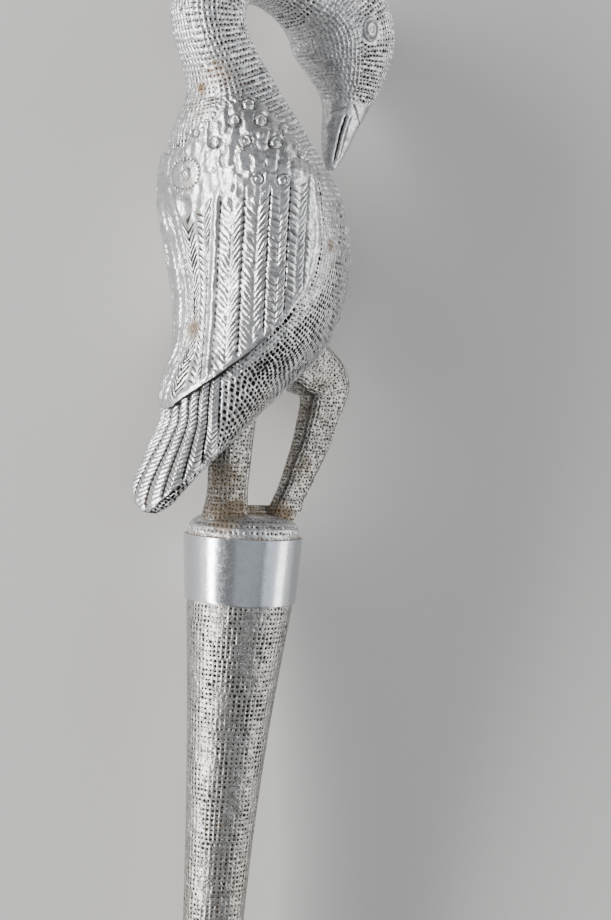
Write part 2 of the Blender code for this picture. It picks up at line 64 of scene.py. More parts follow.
# One rib of the bird: up, forward, lean, half its depth, half its width, squareness, keel, shift to the right
RIBS: tuple[tuple[float, ...], ...] = (
    (9.3, -48.1, 0, 1.2, 4.4, 2.4, 0.20, 0), (12.0, -46.9, 0, 3.1, 9.6, 2.5, 0.25, 0),
    (18.0, -43.5, 0, 5.5, 13.6, 2.5, 0.30, 0), (27.0, -36.8, 0, 8.5, 15.7, 2.5, 0.30, 0),
    (36.7, -28.6, 0, 11.7, 17.6, 2.5, 0.30, 0), (46.4, -20.6, 0, 15.5, 19.1, 2.4, 0.30, 0),
    (54.6, -15.2, 0, 20.8, 22.0, 2.2, 0.30, 0), (64.0, -8.7, 0, 25.6, 24.5, 2.1, 0.30, 0),
    (75.0, -0.2, 0, 30.2, 28.1, 2, 0.32, 0), (87.0, 5.1, 0, 34.4, 31.3, 2, 0.35, 0),
    (99.0, 7.1, 0, 36.9, 33.5, 2, 0.38, 0), (111.0, 7.2, 0, 39.1, 35.6, 2, 0.40, 0),
    (123.4, 5.6, 0, 40.5, 36.8, 2, 0.42, 0), (136.0, 2.4, 0, 40.5, 36.9, 2, 0.45, 0),
    (147.7, -0.8, 0, 38.5, 35.0, 2, 0.46, 0), (154.0, -3.4, 0, 35.9, 32.4, 2, 0.45, 0),
    (160.0, -6.0, 0, 32.9, 30.1, 2, 0.42, 0), (166.0, -8.9, 0, 29.9, 26.9, 2, 0.36, 0),
    (172.0, -11.7, 0, 25.8, 23.7, 2.1, 0.25, 0), (178.0, -14.6, 0, 21.0, 19.9, 2.3, 0.12, 0),
    (184.0, -17.9, 0, 17.9, 17.2, 2.7, 0.04, 0), (189.5, -21.6, 0, 16.2, 15.7, 2.9, 0, 0),
    (195.0, -25.5, 0, 15.2, 14.8, 3, 0, 0), (200.5, -28.9, 0, 14.4, 14.0, 3, 0, 0),
    (206.0, -31.3, 0, 13.9, 13.5, 3, 0, 0), (212.0, -32.6, 0, 13.9, 13.5, 3, 0, 0),
    (218.4, -31.6, 10, 14.0, 13.5, 3, 0, 0), (226.0, -27.6, 35, 14.2, 13.7, 3, 0, 0),
    (232.4, -17.0, 63, 14.3, 13.9, 3, 0, 0), (234.8, -4.0, 88, 14.6, 14.3, 2.9, 0, 0),
    (233.2, 9.5, 105, 16.0, 15.2, 2.7, 0, 0), (229.4, 22.5, 121, 19.0, 16.8, 2.5, 0, 0),
    (223.6, 33.5, 138, 22.6, 18.4, 2.4, 0, 0), (214.5, 39.6, 156, 23.6, 19.0, 2.3, 0, 0),
    (204.5, 41.4, 172, 20.8, 17.2, 2.3, 0, 0.3), (197.0, 42.2, 178, 16.9, 14.2, 2.2, 0, 0.8),
    (191.0, 42.8, 180, 13.5, 11.4, 2.2, 0, 1.3), (185.5, 41.9, 180, 10.9, 9.2, 2.2, 0, 1.8),
    (179.0, 39.8, 180, 9.0, 7.6, 2.2, 0, 2.4), (172.0, 37.2, 180, 7.2, 6.2, 2.2, 0, 3.1),
    (166.0, 35.4, 180, 5.6, 5.0, 2.1, 0, 3.8), (161.0, 33.9, 180, 3.9, 3.7, 2, 0, 4.4),
    (157.6, 32.9, 180, 2.3, 2.3, 2, 0, 4.8),
)

# How far the photograph's view is turned from the bird's right side to its back
QUARTER = math.radians(40)

# Where the wing's lower edge passes from the belly up the breast: across the quarter view, and up
WING_LINE: Curve = ((-21, 58.5), (-12, 65.3), (-3, 73.3), (4, 80.6), (12, 89.5), (18.5, 99.5), (22, 108),
                    (24.4, 121))


def along(curve: Curve, across: Array) -> Array:
    """Heights of a curve given by a few points.

    Args:
        curve: Points of the curve, with their place across it rising.
        across: Places across.

    Returns:
        The height at each place.
    """
    return np.interp(across, [p[0] for p in curve], [p[1] for p in curve])


def unit(vectors: Array) -> Array:
    """Vectors of length one along the last axis."""
    return vectors / np.maximum(np.linalg.norm(vectors, axis=-1, keepdims=True), 1e-12)


def bell(distance: Array, width: float) -> Array:
    """A smooth bump: one at no distance, small past its width."""
    return np.exp(-((distance / width) ** 2))


def ramp(values: Array, low: float, high: float) -> Array:
    """A smooth step from nought at one value to one at another."""
    share = np.clip((values - low) / (high - low), 0, 1)
    return share * share * (3 - 2 * share)


def strokes(angle: Array) -> tuple[Array, Array]:
    """Carved strokes: how far on a stroke's back, and how deep in the slit between two, each place is."""
    back = np.abs(np.sin(angle))
    return back ** 0.6, (1 - back) ** 0.7


def across_quarter(points: Array) -> Array:
    """Where points lie across the quarter view, with the left half laid over the right one."""
    return points[..., 0] * math.cos(QUARTER) + np.abs(points[..., 1]) * math.sin(QUARTER)


def stand(name: str, data: bpy.types.ID) -> bpy.types.Object:
    """Makes an object and puts it in the scene.

    Args:
        name: The object's name.
        data: Its mesh, light or camera.

    Returns:
        The object.
    """
    made = bpy.data.objects.new(name, data)
    bpy.context.scene.collection.objects.link(made)
    return made


@dataclass(frozen=True)
class Ripple:
    """Soft unevenness, as a sum of waves with lengths about one size."""

    seed: int
    size: float
    stretch: tuple[float, float] = (1.0, 1.0)
    waves: int = 14
    spread: tuple[float, float] = (0.6, 1.4)

    def at(self, across: Array, up: Array) -> Array:
        """The unevenness at places.

        Args:
            across: Places across the surface.
            up: Places up the surface.

        Returns:
            The unevenness, mostly between minus one and one.
        """
        chance = np.random.default_rng(self.seed)
        turn = chance.uniform(0, 2 * math.pi, self.waves)
        pace = 2 * math.pi / self.size * chance.uniform(*self.spread, self.waves)
        start = chance.uniform(0, 2 * math.pi, self.waves)
        total = sum(np.sin(pace[k] * (math.cos(turn[k]) * across / self.stretch[0]
                                      + math.sin(turn[k]) * up / self.stretch[1]) + start[k])
                    for k in range(self.waves))
        return total / math.sqrt(self.waves / 2)


@dataclass(frozen=True)
class Lay:
    """How the staff lies: turned about its length, tipped a little and moved over the floor."""

    roll: float = 26.798087
    tilt: float = 1.945386
    shift: tuple[float, float, float] = (-0.00432977, 0.24921735, 0.03153630)

    def axes(self) -> Array:
        """The staff's own axes on the floor.

        Returns:
            The rows that turn (forward, right, up) into the floor's axes.
        """
        roll, tilt = math.radians(self.roll), math.radians(self.tilt)
        z = np.array([-math.sin(roll) * math.cos(tilt), -math.cos(roll) * math.cos(tilt), math.sin(tilt)])
        y = unit(np.array([0.0, 0.0, 1.0]) - z * z[2])
        x = np.cross(y, z)
        return np.array([x, y, z]) * np.array([1.0, -1.0, 1.0])

    def points(self, points: Array) -> Array:
        """Places on the floor, in metres, of points of the staff in millimetres."""
        return points @ self.axes().T * 0.001 + np.array(self.shift)

    def directions(self, vectors: Array) -> Array:
        """Directions of the staff in the floor's axes."""
        return vectors @ self.axes().T


LAY = Lay()


@dataclass
class MeshData:
    """Points, triangles and point values that grow into one mesh."""

    points: list[Array] = field(default_factory=list)
    corners: list[Array] = field(default_factory=list)
    pits: list[Array] = field(default_factory=list)
    crests: list[Array] = field(default_factory=list)
    count: int = 0

    def add(self, points: Array, corners: Array, pits: Union[Array, float] = 0.0,
            crests: Union[Array, float] = 0.0) -> int:
        """Adds points with triangles that count from the first of them.

        Args:
            points: Points in the staff's axes.
            corners: Triangles, by index into these points.
            pits: How deep in a hollow each point is, from nought to one, which the finish paints as shade.
            crests: How far on a rubbed crest each point is, from nought to one.

        Returns:
            The index of the first point in the whole mesh.
        """
        start = self.count
        flat = np.asarray(points, float).reshape(-1, 3)
        self.points.append(flat)
        self.corners.append(np.asarray(corners, np.int64).reshape(-1, 3) + start)
        for store, given in ((self.pits, pits), (self.crests, crests)):
            store.append(np.broadcast_to(np.asarray(given, float).reshape(-1), (len(flat),)))
        self.count += len(flat)
        return start

    def join(self, corners: Array) -> None:
        """Adds triangles between points that are already there."""
        self.corners.append(np.asarray(corners, np.int64).reshape(-1, 3))

    def build(self, name: str, node: str, slot: str, finish: "Finish",
              sharp: float = CARVED_CRISP) -> bpy.types.Object:
        """Makes the piece that stands for a solid of the part.

        Args:
            name: The piece's name.
            node: The solid that it stands for.
            slot: The material slot of the solid; not used.
            finish: The finish that dresses it.
            sharp: The bend, in degrees, above which an edge shades sharp.

        Returns:
            The piece.
        """
        points = np.concatenate(self.points)
        corners = np.concatenate(self.corners)
        a, b, c = (points[corners[:, k]] for k in range(3))
        area = np.linalg.norm(np.cross(b - a, c - a), axis=1)
        corners = corners[area > SLIVER]
        used, index = np.unique(corners, return_inverse=True)
        corners = index.reshape(-1, 3)[:, ::-1]
        points = points[used]
        mesh = bpy.data.meshes.new(name)
        placed = LAY.points(points)
        mesh.vertices.add(len(placed))
        mesh.vertices.foreach_set("co", placed.astype(np.float32).ravel())
        mesh.loops.add(len(corners) * 3)
        mesh.loops.foreach_set("vertex_index", corners.astype(np.int32).ravel())
        mesh.polygons.add(len(corners))
        mesh.polygons.foreach_set("loop_start", np.arange(0, len(corners) * 3, 3, dtype=np.int32))
        mesh.update(calc_edges=True)
        mesh.validate()
        dirt = Grime()
        # pit brings painted shade into hollows, and into the nicks, which are real tears
        values = {"pit": np.maximum(np.concatenate(self.pits)[used], dirt.nicked(points)),
                  "crest": np.concatenate(self.crests)[used], "grime": dirt.at(points)}
        for label, value in values.items():
            mesh.attributes.new(label, "FLOAT", "POINT").data.foreach_set("value", value.astype(np.float32))
        mesh.shade_smooth()
        mesh.set_sharp_from_angle(angle=math.radians(sharp))
        mesh.materials.append(finish.material())
        piece = stand(name, mesh)
        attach(piece, "root")
        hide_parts(node)
        log.info("%s: %d triangles for %s", name, len(corners), node)
        return piece


@dataclass(frozen=True)
class Grime:
    """Where brown dirt and rust have gathered and the sheet is torn, as spots of (place, reach, strength)."""

    spots: tuple[Spot, ...] = (
        ((-12, 4, 9), 11.0, 0.85), ((-16, 6, 24), 13.0, 0.55), ((12, 8, 9), 8.0, 0.8),
        ((2, 8, 11), 8.0, 0.8), ((22, 6, 30), 16.0, 0.42), ((30, 2, 52), 14.0, 0.42),
        ((-18, 10, 6), 8.0, 0.8), ((-32, 10, 187), 11.0, 0.55), ((-34, 3, 170), 12.0, 0.45),
        ((-38, 4, 205), 14.0, 0.40), ((-36, 8, 83), 6.0, 0.75), ((-40, 4, 142), 5.0, 0.6),
        ((9.5, 36, 121), 3.4, 0.9), ((14, 35, 114), 3.0, 0.8), ((30, 12, 62), 8.0, 0.45),
        ((-22, 12, 50), 7.0, 0.65), ((-10, 16, 56), 8.0, 0.5), ((14, 14, 210), 14.0, 0.45),
        ((2, 24, 152), 10.0, 0.45), ((-35.2, 2, 181), 3.4, 1.0), ((-30, 0, 84), 5.0, 0.9),
        ((10, 14, -150), 40.0, 0.35),
    )
    nicks: tuple[Spot, ...] = (
        ((-31.5, -21.5, 145.5), 1.3, 1.0), ((-30.5, 1.5, 84.5), 1.0, 1.0), ((-30.5, -0.5, 83.6), 0.8, 1.0),
        ((-30.0, -3.5, 82.4), 0.7, 1.0),
    )
    seam_up: float = 0.4
    seam_reach: float = 0.9
    seam_radius: float = 15.0
    seam_strength: float = 0.8

    @staticmethod
    def strongest(points: Array, spots: Sequence[Spot]) -> Array:
        """How strong the spots are.

        Args:
            points: Points of the staff.
            spots: The spots.

        Returns:
            The strength of the strongest spot at each point.
        """
        total = np.zeros(len(points))
        for place, reach, strength in spots:
            distance = np.linalg.norm(points - np.array(place, float), axis=1)
            total = np.maximum(total, strength * bell(distance, reach))
        return total

    def at(self, points: Array) -> Array:
        """How dirty points are, in the spots and along the seam above the collar.

        Args:
            points: Points of the staff.

        Returns:
            The dirt at each point, from nought to one.
        """
        outside = np.hypot(points[:, 0], points[:, 1]) > self.seam_radius
        seam = bell(points[:, 2] - self.seam_up, self.seam_reach) * outside
        return np.maximum(self.strongest(points, self.spots), self.seam_strength * seam)

    def nicked(self, points: Array) -> Array:
        """How deep in a small tear or nick each point is, from nought to one."""
        return self.strongest(points, self.nicks)


def operator(operation: str, turned: bool = False) -> Callable[["Socket", "Value"], "Socket"]:
    """An operator of the shader values, which makes one Math node.

    Args:
        operation: The node's operation.
        turned: Whether the other value comes first, for the reflected form.

    Returns:
        The operator as a method.
    """
    def apply(self: "Socket", other: "Value") -> "Socket":
        """The result of the operation."""
        return self.nodes.node("ShaderNodeMath", {"operation": operation},
                               *((other, self) if turned else (self, other)))

    return apply


class Socket:
    """A shader value that sums, differences and products can be written with."""

    def __init__(self, nodes: "Shader", link: Union[bpy.types.NodeSocket, Number]) -> None:
        """Keeps the value.

        Args:
            nodes: The shader that it belongs to.
            link: An output socket or a plain number.
        """
        self.nodes = nodes
        self.link = link

    __add__, __radd__ = operator("ADD"), operator("ADD", True)
    __sub__, __rsub__ = operator("SUBTRACT"), operator("SUBTRACT", True)
    __mul__, __rmul__ = operator("MULTIPLY"), operator("MULTIPLY", True)

    def clamp(self) -> "Socket":
        """The value held between nought and one."""
        return self.nodes.node("ShaderNodeClamp", {}, self)

    def above(self, low: float, high: float) -> "Socket":
        """A smooth step from nought at one value to one at another."""
        return self.nodes.node("ShaderNodeMapRange", {"interpolation_type": "SMOOTHSTEP"}, self, low, high)


Value = Union[Socket, Number]


class Shader:
    """The nodes of one material."""

    # Where the Mix node keeps its share, its two colours and the mixed colour
    MIX_SHARE, MIX_LOW, MIX_HIGH, MIX_OUT = 0, 6, 7, 2

    def __init__(self, name: str) -> None:
        """Starts a material with its own shader.

        Args:
            name: The material's name.
        """
        self.made = bpy.data.materials.new(name)
        self.made.use_nodes = True
        self.tree = self.made.node_tree
        self.main = self.tree.nodes["Principled BSDF"]
        self.place = self.node("ShaderNodeTexCoord", {}, output="Object")

    def node(self, kind: str, settings: dict, *values: object, output: Optional[str] = None,
             **named: object) -> Socket:
        """One node of any type.

        Args:
            kind: The node's type.
            settings: Its settings, which are set first.
            values: Values or links of its sockets, in order.
            output: The output to return, or None for the first one.
            named: Values or links of its sockets, by name with _ for a space.

        Returns:
            The output as a value.
        """
        made = self.tree.nodes.new(kind)
        for name, setting in settings.items():
            setattr(made, name, setting)
        places = [(made.inputs[k], value) for k, value in enumerate(values)]
        places += [(made.inputs[name.replace("_", " ")], value) for name, value in named.items()]
        for place, value in places:
            self.feed(place, value)
        chosen = made.outputs[output] if output else next(o for o in made.outputs if o.enabled)
        return Socket(self, chosen)

    def feed(self, place: bpy.types.NodeSocket, value: object) -> None:
        """Sets or links one input.

        Args:
            place: The input.
            value: A number, a colour, an output socket or a value of this shader.
        """
        if isinstance(value, Socket):
            value = value.link
        if isinstance(value, bpy.types.NodeSocket):
            self.tree.links.new(value, place)
        else:
            place.default_value = value

    def noise(self, size: float, detail: float = 3.0, roughness: float = 0.55,
              stretch: Optional[tuple[float, float, float]] = None) -> Socket:
        """Noise in the object's own axes.

        Args:
            size: The size of its patches, in metres.
            detail: How many finer layers it has.
            roughness: How strong the finer layers are.
            stretch: Factors along the three axes, or None.

        Returns:
            The noise, about a half.
        """
        place = self.place
        if stretch:
            place = self.node("ShaderNodeVectorMath", {"operation": "MULTIPLY"}, place, stretch)
        return self.node("ShaderNodeTexNoise", {"noise_dimensions": "3D"}, Vector=place, Scale=1 / size,
                         Detail=detail, Roughness=roughness)

    def attribute(self, name: str) -> Socket:
        """A point value of the mesh."""
        return self.node("ShaderNodeAttribute", {"attribute_name": name}, output="Fac")

    def mix(self, share: Value, low: object, high: object) -> Socket:
        """A colour between two colours.

        Args:
            share: Nought for the first and one for the second.
            low: The first colour.
            high: The second colour.

        Returns:
            The mixed colour.
        """
        made = self.tree.nodes.new("ShaderNodeMix")
        made.data_type = "RGBA"
        self.feed(made.inputs[self.MIX_SHARE], share)
        for place, colour in ((self.MIX_LOW, low), (self.MIX_HIGH, high)):
            self.feed(made.inputs[place], colour if isinstance(colour, Socket) else (*colour, 1.0))
        return Socket(self, made.outputs[self.MIX_OUT])

    def bump(self, height: Value, distance: float, strength: float, under: Optional[Socket] = None) -> Socket:
        """A bumped normal.

        Args:
            height: The height over the surface.
            distance: What a height of one stands for, in metres.
            strength: How strongly it shades.
            under: A normal below this one, or None.

        Returns:
            The normal.
        """
        named = {"Height": height, "Distance": distance, "Strength": strength}
        if under:
            named["Normal"] = under
        return self.node("ShaderNodeBump", {}, **named)


class Sheet(Enum):
    """How the silver sheet was worked: the strength of its dents, small ripples and fine scratches."""

    PUNCHED = (0.7, 1.0, 1.5)
    CARVED = (0.6, 0.8, 1.0)
    POLISHED = (0.05, 0.05, 0.10)


@dataclass(frozen=True)
class Grain:
    """Patches of one size in the sheet: their noise, between which values they tarnish, and how much."""

    size: float
    detail: float
    low: float
    high: float
    share: float


@dataclass(frozen=True)
class Finish:
    """Worn silver sheet, with tarnish in patches, painted shade in its hollows, rust-brown where dirty, and
    brown dirt where it has gathered.
    """

    name: str
    sheet: Sheet
    bright: Colour = (0.78, 0.78, 0.79)
    tarnish: Colour = (0.19, 0.195, 0.21)
    # hollow is the near-black painted shade for pits, slits and grooves; rust takes its place in part, more
    # where there is dirt
    hollow: Colour = (0.020, 0.016, 0.013)
    rust: Colour = (0.14, 0.075, 0.03)
    dirt: Colour = (0.24, 0.175, 0.10)
    roughness: float = 0.27
    patchy: float = 1.0
    rubbed: float = 0.75
    stain_edges: tuple[float, float] = (0.30, 0.85)
    hollow_shade_edges: tuple[float, float] = (0.40, 0.60)
    rust_edges: tuple[float, float] = (0.55, 0.75)
    grains: tuple[Grain, ...] = (Grain(0.012, 4.0, 0.38, 0.64, 0.12), Grain(0.0030, 4.0, 0.40, 0.70, 0.38),
                                 Grain(0.0008, 3.0, 0.42, 0.66, 0.45))
    dent_size: float = 0.007
    ripple_size: float = 0.0022
    scratch_size: float = 0.0006
    scratch_stretch: tuple[float, float, float] = (1.0, 0.06, 1.0)
    bump_depths: tuple[float, float, float] = (0.0012, 0.00045, 0.00007)

    def material(self) -> bpy.types.Material:
        """The finish as a material, made once.

        Returns:
            The material.
        """
        known = bpy.data.materials.get(self.name)
        if known:
            return known
        nodes = Shader(self.name)
        pit, crest, grime = (nodes.attribute(label) for label in ("pit", "crest", "grime"))
        broad, middle, fine = noises = [nodes.noise(grain.size, grain.detail, 0.6) for grain in self.grains]
        shares = [noise.above(grain.low, grain.high) * grain.share
                  for noise, grain in zip(noises, self.grains)]
        tarnish = (shares[0] + shares[1] + shares[2]) * self.patchy * (1 - self.rubbed * crest)
        colour = nodes.mix(tarnish.clamp(), self.bright, self.tarnish)
        stain = (grime * (middle + fine) * 1.05 + grime * pit * 0.5).above(*self.stain_edges)
        colour = nodes.mix((stain * 0.8).clamp(), colour, self.dirt)
        # Painted shade: points deep in a hollow are darkened towards the hollow colour, partly rust-brown
        depth = pit.above(*self.hollow_shade_edges)
        rusty = grime * 1.5 + broad.above(*self.rust_edges) * 0.5
        colour = nodes.mix(depth, colour, nodes.mix(rusty.clamp(), self.hollow, self.rust))
        # Dirt and the painted shade in hollows both make the sheet rougher and less metallic
        dirt_and_hollow_shade = (stain * 0.75 + depth * 0.8).clamp()
        rough = self.roughness + 0.20 * tarnish + 0.5 * dirt_and_hollow_shade + 0.12 * (fine - 0.5)
        for label, value in (("Base Color", colour), ("Metallic", 1 - dirt_and_hollow_shade), ("Roughness", rough.clamp()),
                             ("Normal", self.bumps(nodes, fine))):
            nodes.feed(nodes.main.inputs[label], value)
        return nodes.made

    def bumps(self, nodes: Shader, fine: Socket) -> Socket:
        """The sheet's dents, ripples and scratches.

        Args:
            nodes: The shader.
            fine: The finest noise, which lies over the scratches.

        Returns:
            The bumped normal.
        """
        dent, ripple, scratch = (depth * share for depth, share in zip(self.bump_depths, self.sheet.value))
        normal = nodes.bump(nodes.noise(self.dent_size, 2.0, 0.5), dent, 1.0)
        normal = nodes.bump(nodes.noise(self.ripple_size, 3.0, 0.6), ripple, 1.0, normal)
        scratches = nodes.noise(self.scratch_size, 2.0, 0.5, self.scratch_stretch)
        return nodes.bump(scratches * 0.5 + fine, scratch, 0.8, normal)


PUNCHED_FINISH = Finish("punched_sheet", Sheet.PUNCHED, roughness=0.33)
CARVED_FINISH = Finish("carved_sheet", Sheet.CARVED, roughness=0.26)
POLISHED_FINISH = Finish("polished_band", Sheet.POLISHED, bright=(0.70, 0.72, 0.76),
                         tarnish=(0.52, 0.55, 0.61), roughness=0.17, patchy=0.7)
SHAFT_FINISH = Finish("worn_sheet", Sheet.PUNCHED, bright=(0.54, 0.53, 0.512), tarnish=(0.11, 0.104, 0.096),
                      roughness=0.33)
# The legs' darker sheet is partly tarnish and partly painted shade for the dark under the bird
TARNISHED_AND_SHADED_LEG_FINISH = Finish("tarnished_and_shaded_sheet", Sheet.PUNCHED, bright=(0.44, 0.43, 0.41), tarnish=(0.05, 0.047, 0.044),
                    roughness=0.30)


class Form:
    """The bird's body, neck and head as a skin over ribs."""

    SAMPLES = 241
    STEP = 0.5

    def __init__(self, ribs: Sequence[Sequence[float]], places: Optional[Array] = None) -> None:
        """Keeps the ribs and where each stands along the form.

        Args:
            ribs: One row for each rib.
            places: Where each rib stands, or None for its height and then the way along the centres.
        """
        self.table = np.array(ribs, float)
        if places is None:
            steps = np.hypot(np.diff(self.table[:, 0]), np.diff(self.table[:, 1]))
            level = self.table[1:, 2] == 0
            steps = np.where(level, np.diff(self.table[:, 0]), steps)
            places = self.table[0, 0] + np.concatenate([[0], np.cumsum(steps)])
        self.places = places
        self.levels = places
        self.sheet: Optional[Array] = None

    def ribs(self, places: Array) -> Array:
        """Smooth ribs between those that are drawn.

        Args:
            places: Where the ribs stand along the form.

        Returns:
            One row for each place.
        """
        x, y = self.places, self.table
        h = np.diff(x)
        slopes = np.diff(y, axis=0) / h[:, None]
        tangent = np.empty_like(y)
        tangent[1:-1] = (slopes[1:] * h[:-1, None] + slopes[:-1] * h[1:, None]) / (h[1:] + h[:-1])[:, None]
        tangent[0], tangent[-1] = slopes[0], slopes[-1]
        i = np.clip(np.searchsorted(x, places, side="right") - 1, 0, len(h) - 1)
        t = ((places - x[i]) / h[i])[:, None]
        step = h[i][:, None]
        return ((1 + 2 * t) * (1 - t) ** 2 * y[i] + t * (1 - t) ** 2 * step * tangent[i]
                + t * t * (3 - 2 * t) * y[i + 1] + t * t * (t - 1) * step * tangent[i + 1])

    def outlines(self, ribs: Array) -> tuple[Array, Array, Array]:
        """Half outlines of ribs, from the breast over the right side to the back.

        Args:
            ribs: One row for each rib.

        Returns:
            Depths, widths, and the share of the half outline's length at each sample.
        """
        angle = np.linspace(0, math.pi, self.SAMPLES)
        power = ribs[:, 5:6]
        radius = (np.abs(np.cos(angle)) ** power + np.abs(np.sin(angle)) ** power) ** (-1 / power)
        near, wide = np.cos(angle) * radius, np.sin(angle) * radius
        keel = 1 - ribs[:, 6:7] * np.sign(near) * np.abs(near) ** (power / 2)
        near, wide = near * ribs[:, 3:4], wide * keel * ribs[:, 4:5]
        length = np.hypot(np.diff(near, axis=1), np.diff(wide, axis=1))
        run = np.concatenate([np.zeros((len(ribs), 1)), np.cumsum(length, axis=1)], axis=1)
        return near, wide, run

    @staticmethod
    def place_points(ribs: Array, near: Array, wide: Array) -> Array:
        """Points of the skin.

        Args:
            ribs: The rib of each point.
            near: How far each is before the rib's middle.
            wide: How far each is to the right of it.

        Returns:
            The points.
        """
        lean = np.radians(ribs[..., 2])
        return np.stack([ribs[..., 1] + near * np.cos(lean), ribs[..., 7] + wide,
                         ribs[..., 0] - near * np.sin(lean)], axis=-1)

    def skin(self, places: Array, shares: Array) -> Array:
        """Points of the skin.

        Args:
            places: Where the points stand along the form.
            shares: Shares of the ring's length from the breast, to the right above nought.

        Returns:
            A point for each place and share.
        """
        if self.sheet is None:
            self.levels = np.arange(self.places[0], self.places[-1] + self.STEP / 2, self.STEP)
            ribs = self.ribs(self.levels)
            near, wide, run = self.outlines(ribs)
            at = np.linspace(0, 1, self.SAMPLES)
            depth = np.array([np.interp(at * r[-1], r, n) for r, n in zip(run, near)])
            width = np.array([np.interp(at * r[-1], r, w) for r, w in zip(run, wide)])
            self.sheet = np.stack([depth, width], axis=-1)
        places, shares = np.broadcast_arrays(places, shares)
        row = np.clip((places - self.levels[0]) / self.STEP, 0, len(self.levels) - 1.001)
        column = np.clip(np.abs(shares) * 2 * (self.SAMPLES - 1), 0, self.SAMPLES - 1.001)
        i, j = row.astype(int), column.astype(int)
        a, b = (row - i)[..., None], (column - j)[..., None]
        found = ((1 - a) * ((1 - b) * self.sheet[i, j] + b * self.sheet[i, j + 1])
                 + a * ((1 - b) * self.sheet[i + 1, j] + b * self.sheet[i + 1, j + 1]))
        ribs = self.ribs(places.ravel()).reshape(*places.shape, -1)
        return self.place_points(ribs, found[..., 0], found[..., 1] * np.sign(shares))

    def girths(self, places: Array) -> Array:
        """The length of each ring."""
        return 2 * self.outlines(self.ribs(places))[2][:, -1]

    def quarter(self, places: Array, across: Array) -> tuple[Array, Array]:
        """Points on the right side by their place across the quarter view.

        Args:
            places: Where the level rings stand.
            across: For each ring, places across, or below the back's own place for the back.

        Returns:
            Points, and the share of each ring's length from the breast.
        """
        ribs = self.ribs(places)
        near, wide, run = self.outlines(ribs)
        depth, width, share = (np.empty(across.shape) for _ in range(3))
        for i in range(len(places)):
            view = (ribs[i, 1] + near[i]) * math.cos(QUARTER) + wide[i] * math.sin(QUARTER)
            first = int(np.argmax(view))
            back = slice(None, first - 1 if first else None, -1)
            depth[i] = np.interp(across[i], view[back], near[i][back])
            width[i] = np.interp(across[i], view[back], wide[i][back])
            share[i] = np.interp(across[i], view[back], run[i][back]) / (2 * run[i, -1])
        return self.place_points(ribs[:, None], depth, width), share

    def back_line(self, places: Array) -> Array:
        """Where the middle of the back lies across the quarter view."""
        ribs = self.ribs(places)
        return (ribs[:, 1] - ribs[:, 3]) * math.cos(QUARTER)


@dataclass(frozen=True)
class Punching:
    """Rows of dots punched into the sheet, in millimetres, and how much the hand varied them."""

    pitch: float = 2.0
    mouth: float = 0.46
    depth: float = 0.42
    scatter: float = 0.10
    seed: int = 1
    dish: float = 0.13
    mouth_spread: float = 0.20
    depth_spread: float = 0.30


